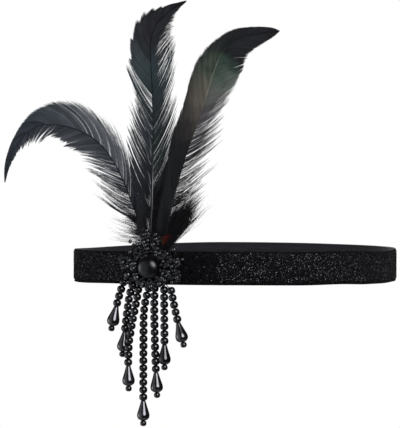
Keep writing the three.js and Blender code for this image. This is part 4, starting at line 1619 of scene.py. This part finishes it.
def barbTree():
    tree, given = growthTree("barbs", {
        "Segments": "Int", "Barb Width": "Float", "Thickness": "Float", "Tip Share": "Float",
        "Frizz Scale": "Float",
    })
    # one straight three-sided rod of unit length is copied onto every root
    line = addNode(
        tree, "GeometryNodeCurvePrimitiveLine", {0: (0.0, 0.0, 0.0), 1: (1.0, 0.0, 0.0)}
    ).outputs[0]
    cut = addNode(tree, "GeometryNodeResampleCurve", {"Curve": line, "Count": given["Segments"]}).outputs[0]
    ring = addNode(tree, "GeometryNodeCurvePrimitiveCircle", {"Resolution": 3, "Radius": 1.0}).outputs[0]
    rod = addNode(tree, "GeometryNodeCurveToMesh", {0: cut, 1: ring, "Fill Caps": True}).outputs[0]
    own = addNode(tree, "GeometryNodeInputPosition").outputs[0]
    marked = storeNamed(tree, rod, "own", own, "FLOAT_VECTOR")
    rooted = storeNamed(tree, given["Geometry"], "root", own, "FLOAT_VECTOR")
    placed = addNode(
        tree, "GeometryNodeInstanceOnPoints", {"Points": rooted, "Instance": marked}
    ).outputs[0]
    real = addNode(tree, "GeometryNodeRealizeInstances", {0: placed}).outputs[0]

    # then it is bent from root to tip
    place = addNode(tree, "ShaderNodeSeparateXYZ", {0: readNamed(tree, "own", "FLOAT_VECTOR")}).outputs
    out = place[0]
    root, bend, tip, face, drift = (
        readNamed(tree, key, "FLOAT_VECTOR") for key in ("root", "bend", "tip", "face", "drift")
    )
    first, second = mixVector(tree, out, root, bend), mixVector(tree, out, bend, tip)
    middle = mixVector(tree, out, first, second)
    way = calcVector(tree, "NORMALIZE", calcVector(tree, "SUBTRACT", second, first))
    flank = calcVector(tree, "NORMALIZE", calcVector(tree, "CROSS_PRODUCT", face, way))

    # hooked barbs lie still, and past the hooks they thin out, gather and wave
    free = mapRange(tree, out, 0.0, 1.0, readNamed(tree, "hooked"), 1.0)
    thinned = times(tree, calc(tree, "POWER", free, barbForm["thin"]),
                    calc(tree, "SUBTRACT", 1.0, given["Tip Share"]))
    ending = mapRange(tree, out, 1.0, barbForm["end"], barbForm["blunt"], 1.0)
    slim = times(tree, calc(tree, "SUBTRACT", 1.0, thinned), ending)
    half = times(tree, readNamed(tree, "wide"), given["Barb Width"], barbForm["half"], slim)
    thick = times(tree, given["Thickness"], 0.5, slim)
    aside = calcVector(tree, "SCALE", flank, scale=times(tree, place[1], half))
    forth = calcVector(tree, "SCALE", face, scale=times(tree, place[2], thick))
    drifted = calcVector(tree, "SCALE", drift, scale=calc(tree, "POWER", free, barbForm["limp"]))
    wild = addNode(tree, "ShaderNodeTexNoise", {
        "Vector": middle, "W": calc(tree, "ADD", times(tree, readNamed(tree, "tone"), 3.0), given["Seed"]),
        "Scale": given["Frizz Scale"], "Detail": 1.0,
    }, noise_dimensions="4D").outputs["Color"]
    sway = times(
        tree, readNamed(tree, "loose"), calc(tree, "POWER", free, barbForm["frizzLate"]), barbForm["frizz"]
    )
    frizz = calcVector(tree, "SCALE", calcVector(tree, "SUBTRACT", wild, (0.5, 0.5, 0.5)), scale=sway)
    moves = calcVector(tree, "ADD", calcVector(tree, "ADD", forth, drifted), frizz)
    shape = calcVector(tree, "ADD", calcVector(tree, "ADD", middle, aside), moves)
    moved = addNode(tree, "GeometryNodeSetPosition", {"Geometry": real, "Position": shape}).outputs[0]

    station = calc(tree, "MULTIPLY_ADD", readNamed(tree, "ahead"), out, readNamed(tree, "station"))
    reach = times(tree, readNamed(tree, "side"), out)
    moved = storeNamed(tree, moved, "station", station)
    moved = storeNamed(tree, moved, "reach", reach)
    for key in ("own", "root", "bend", "tip", "face", "drift", "hooked", "wide", "loose", "ahead", "side"):
        moved = addNode(tree, "GeometryNodeRemoveAttribute", {"Geometry": moved, "Name": key}).outputs[0]
    smooth = addNode(tree, "GeometryNodeSetShadeSmooth", {"Geometry": moved}).outputs[0]
    return endTree(tree, smooth, given["Material"])


barbGrowth = barbTree()

# Colours as they look in the light, from 0 to 255, at places along a feather: near and edge for the
# left and the right vane, then the shaft's. evenness is how alike the barbs are.
soot = (21, 21, 23)
featherLooks = {
    "feather_left": {
        "vanes": [
            ([(0.12, soot), (0.25, (39, 41, 45)), (0.4, (55, 58, 64)), (0.6, (52, 55, 59)),
              (0.8, (45, 48, 54)), (1, (39, 41, 46))],
             [(0.12, (33, 33, 35)), (0.3, (68, 70, 76)), (0.5, (82, 85, 90)), (0.65, (68, 70, 76)),
              (0.8, (57, 60, 66)), (1, (41, 44, 48))]),
            ([(0.12, soot), (0.25, (31, 33, 37)), (0.4, (62, 65, 70)), (0.55, (64, 67, 71)),
              (0.66, (51, 55, 60)), (0.85, (45, 49, 55)), (1, (39, 41, 46))],
             [(0.12, soot), (0.25, (47, 49, 54)), (0.4, (102, 104, 109)), (0.55, (100, 102, 107)),
              (0.66, (64, 68, 73)), (0.8, (47, 52, 57)), (1, (39, 41, 46))]),
        ],
        "evenness": 0.38,
        "shaft": [(0.1, soot), (0.4, (31, 32, 35)), (0.9, (37, 39, 43))],
    },
    "feather_centre": {
        "vanes": [
            ([(0.12, soot), (0.3, (22, 24, 27)), (0.42, (36, 39, 43)), (0.52, (38, 41, 45)),
              (0.62, (38, 44, 46)), (0.7, (44, 52, 54)), (0.76, (40, 43, 46)), (0.82, (36, 35, 39)),
              (1, (29, 30, 32))],
             [(0.12, soot), (0.3, (33, 34, 38)), (0.5, (52, 55, 59)), (0.62, (48, 53, 57)),
              (0.72, (48, 54, 58)), (0.8, (40, 41, 44)), (1, (29, 30, 32))]),
            ([(0.12, soot), (0.28, (21, 22, 23)), (0.34, (26, 28, 29)), (0.4, (31, 39, 38)),
              (0.44, (29, 36, 36)), (0.5, (34, 38, 41)), (0.62, (34, 40, 42)), (0.7, (38, 46, 50)),
              (0.8, (32, 33, 36)), (1, (29, 30, 32))],
             [(0.12, soot), (0.3, (26, 27, 28)), (0.4, (34, 41, 40)), (0.5, (52, 54, 58)),
              (0.65, (58, 64, 67)), (0.8, (50, 52, 55)), (1, (29, 30, 32))]),
        ],
        "evenness": 0.5,
        "shaft": [(0.1, (60, 60, 62)), (0.2, (84, 84, 86)), (0.28, (122, 122, 122)), (0.35, (62, 64, 66)),
                  (0.4, (28, 29, 31)), (1, soot)],
    },
    "feather_right": {
        "vanes": [
            ([(0.12, soot), (0.36, (24, 25, 27)), (0.43, (29, 29, 30)), (0.48, (43, 41, 40)),
              (0.53, (64, 60, 57)), (0.6, (82, 78, 72)), (0.65, (80, 79, 70)), (0.7, (62, 70, 61)),
              (0.745, (38, 47, 41)), (0.79, (29, 31, 32)), (1, (30, 30, 33))],
             [(0.4, (22, 23, 25)), (0.5, (38, 37, 37)), (0.6, (48, 46, 44)), (0.7, (48, 52, 48)),
              (0.8, (33, 34, 36)), (1, (32, 32, 35))]),
            ([(0.12, soot), (0.36, (24, 24, 26)), (0.45, (48, 48, 50)), (0.55, (64, 62, 64)),
              (0.62, (66, 68, 66)), (0.7, (56, 64, 58)), (0.755, (38, 48, 43)), (0.79, (29, 31, 33)),
              (1, (30, 30, 33))],
             [(0.12, soot), (0.36, (36, 36, 38)), (0.45, (64, 64, 66)), (0.55, (98, 98, 100)),
              (0.64, (104, 108, 104)), (0.72, (86, 96, 90)), (0.77, (50, 60, 55)), (0.81, (38, 39, 41)),
              (1, (32, 32, 35))]),
        ],
        "evenness": 0.68,
        # From about 0.52 to 0.72 of its length the right feather's shaft is painted light grey: a painted
        # highlight along the quill
        "shaft": [(0.08, (26, 26, 27)), (0.12, (48, 54, 52)), (0.24, (34, 37, 37)), (0.4, soot),
                  (0.52, (60, 60, 56)), (0.62, (90, 92, 86)), (0.72, (88, 92, 86)), (0.8, (30, 32, 32)),
                  (1, (25, 26, 28))],
    },
}


def featherSlot(name):
    return "bronze_feather" if name == "feather_right" else "dark_feathers"


def makeShaft(feather, points, look):
    steps, sides, path, radii = plume["shaftSteps"], plume["shaftSides"], [], []
    for i in range(steps + 1):
        along = i / steps
        path.append(shaftAt(points, along)[0])
        radii.append(blend(feather["quillLook"] / 2, plume["tip"] / 2, along ** plume["taper"]))
    mesh = tubeMesh("shaft", path, radii, sides)
    storeValues(mesh, "station", [i // sides / steps for i in range(len(mesh.vertices))])
    mesh.transform(ornamentPlace)
    mesh.materials.append(shaftMaterial(feather["name"] + " shaft", look))
    finishPiece(addObject(feather["name"] + "_shaft", mesh), featherSlot(feather["name"]), feather["name"])


def growBarbs(name, rows, segments, seed, material):
    return grow(
        name, pointCloud("plan", rows), barbGrowth, ornamentPlace, Segments=segments,
        BarbWidth=plume["barbWidth"], Thickness=plume["barbThickness"], TipShare=plume["tipShare"],
        FrizzScale=plume["frizz"], Seed=seed, Material=material,
    )


def makeFeather(feather):
    name, look = feather["name"], featherLooks[feather["name"]]
    rng = random.Random(feather["seed"])
    points = shaftPoints(feather)
    material = featherMaterial(name, look["vanes"], look["evenness"])
    makeShaft(feather, points, look["shaft"])
    rows = planVane(feather, points, -1, rng) + planVane(feather, points, 1, rng)
    vanes = growBarbs(name + "_vanes", rows, plume["vaneSegments"], feather["seed"], material)
    finishPiece(vanes, featherSlot(name), name)
    rows = [row for patch in downs[name] for row in planDown(points, patch, rng)]
    down = growBarbs(name + "_down", rows, plume["downSegments"], feather["seed"], material)
    finishPiece(down, featherSlot(name))


# Coloured fluff at the feathers' feet, in front of the down: forward is how far, in mm
fluff = {
    "feather_right": {
        "colours": [(78, 56, 40), (88, 36, 34)], "forward": 1.4, "seed": 41, "patches": table(
            tuftColumns,
            (1, (0.078, 0.086), 7, 5, (3.5, 6.4), (22, 66), 1.0, 1),
            (-1, (0.08, 0.088), 4, 4, (2.5, 4.2), (14, 56), 0.8, 1),
        ),
    },
    "feather_centre": {
        "colours": [(138, 138, 141), (92, 93, 97)], "forward": 3.0, "seed": 42, "patches": table(
            tuftColumns,
            (-1, (0.11, 0.13), 2, 5, (8, 11), (8, 14), 1.6, 1),
            (-1, (0.2, 0.42), 9, 2, (4, 9), (4, 34), 1.3, 1),
            (1, (0.15, 0.3), 6, 2, (3, 7), (4, 30), 1.3, 1),
        ),
    },
}


def makeFluff(feather):
    name, plan = feather["name"], fluff[feather["name"]]
    rng = random.Random(plan["seed"])
    points = [point - Vector((0, plan["forward"] * mm, 0)) for point in shaftPoints(feather)]
    rows = [row for patch in plan["patches"] for row in planDown(points, patch, rng)]
    for row in rows:
        row["side"] = math.copysign(1, row["side"])
    vanes = [([(0, seen), (1, seen)], [(0, seen), (1, soot)]) for seen in plan["colours"]]
    material = featherMaterial(name + " fluff", vanes, 0.5)
    finishPiece(
        growBarbs(name + "_fluff", rows, plume["downSegments"], plan["seed"], material), featherSlot(name)
    )


for feather in feathers:
    makeFeather(feather)
    if feather["name"] in fluff:
        makeFluff(feather)
print("feathers made")

for helper in (roundBead, seedBead):
    bpy.data.objects.remove(helper)
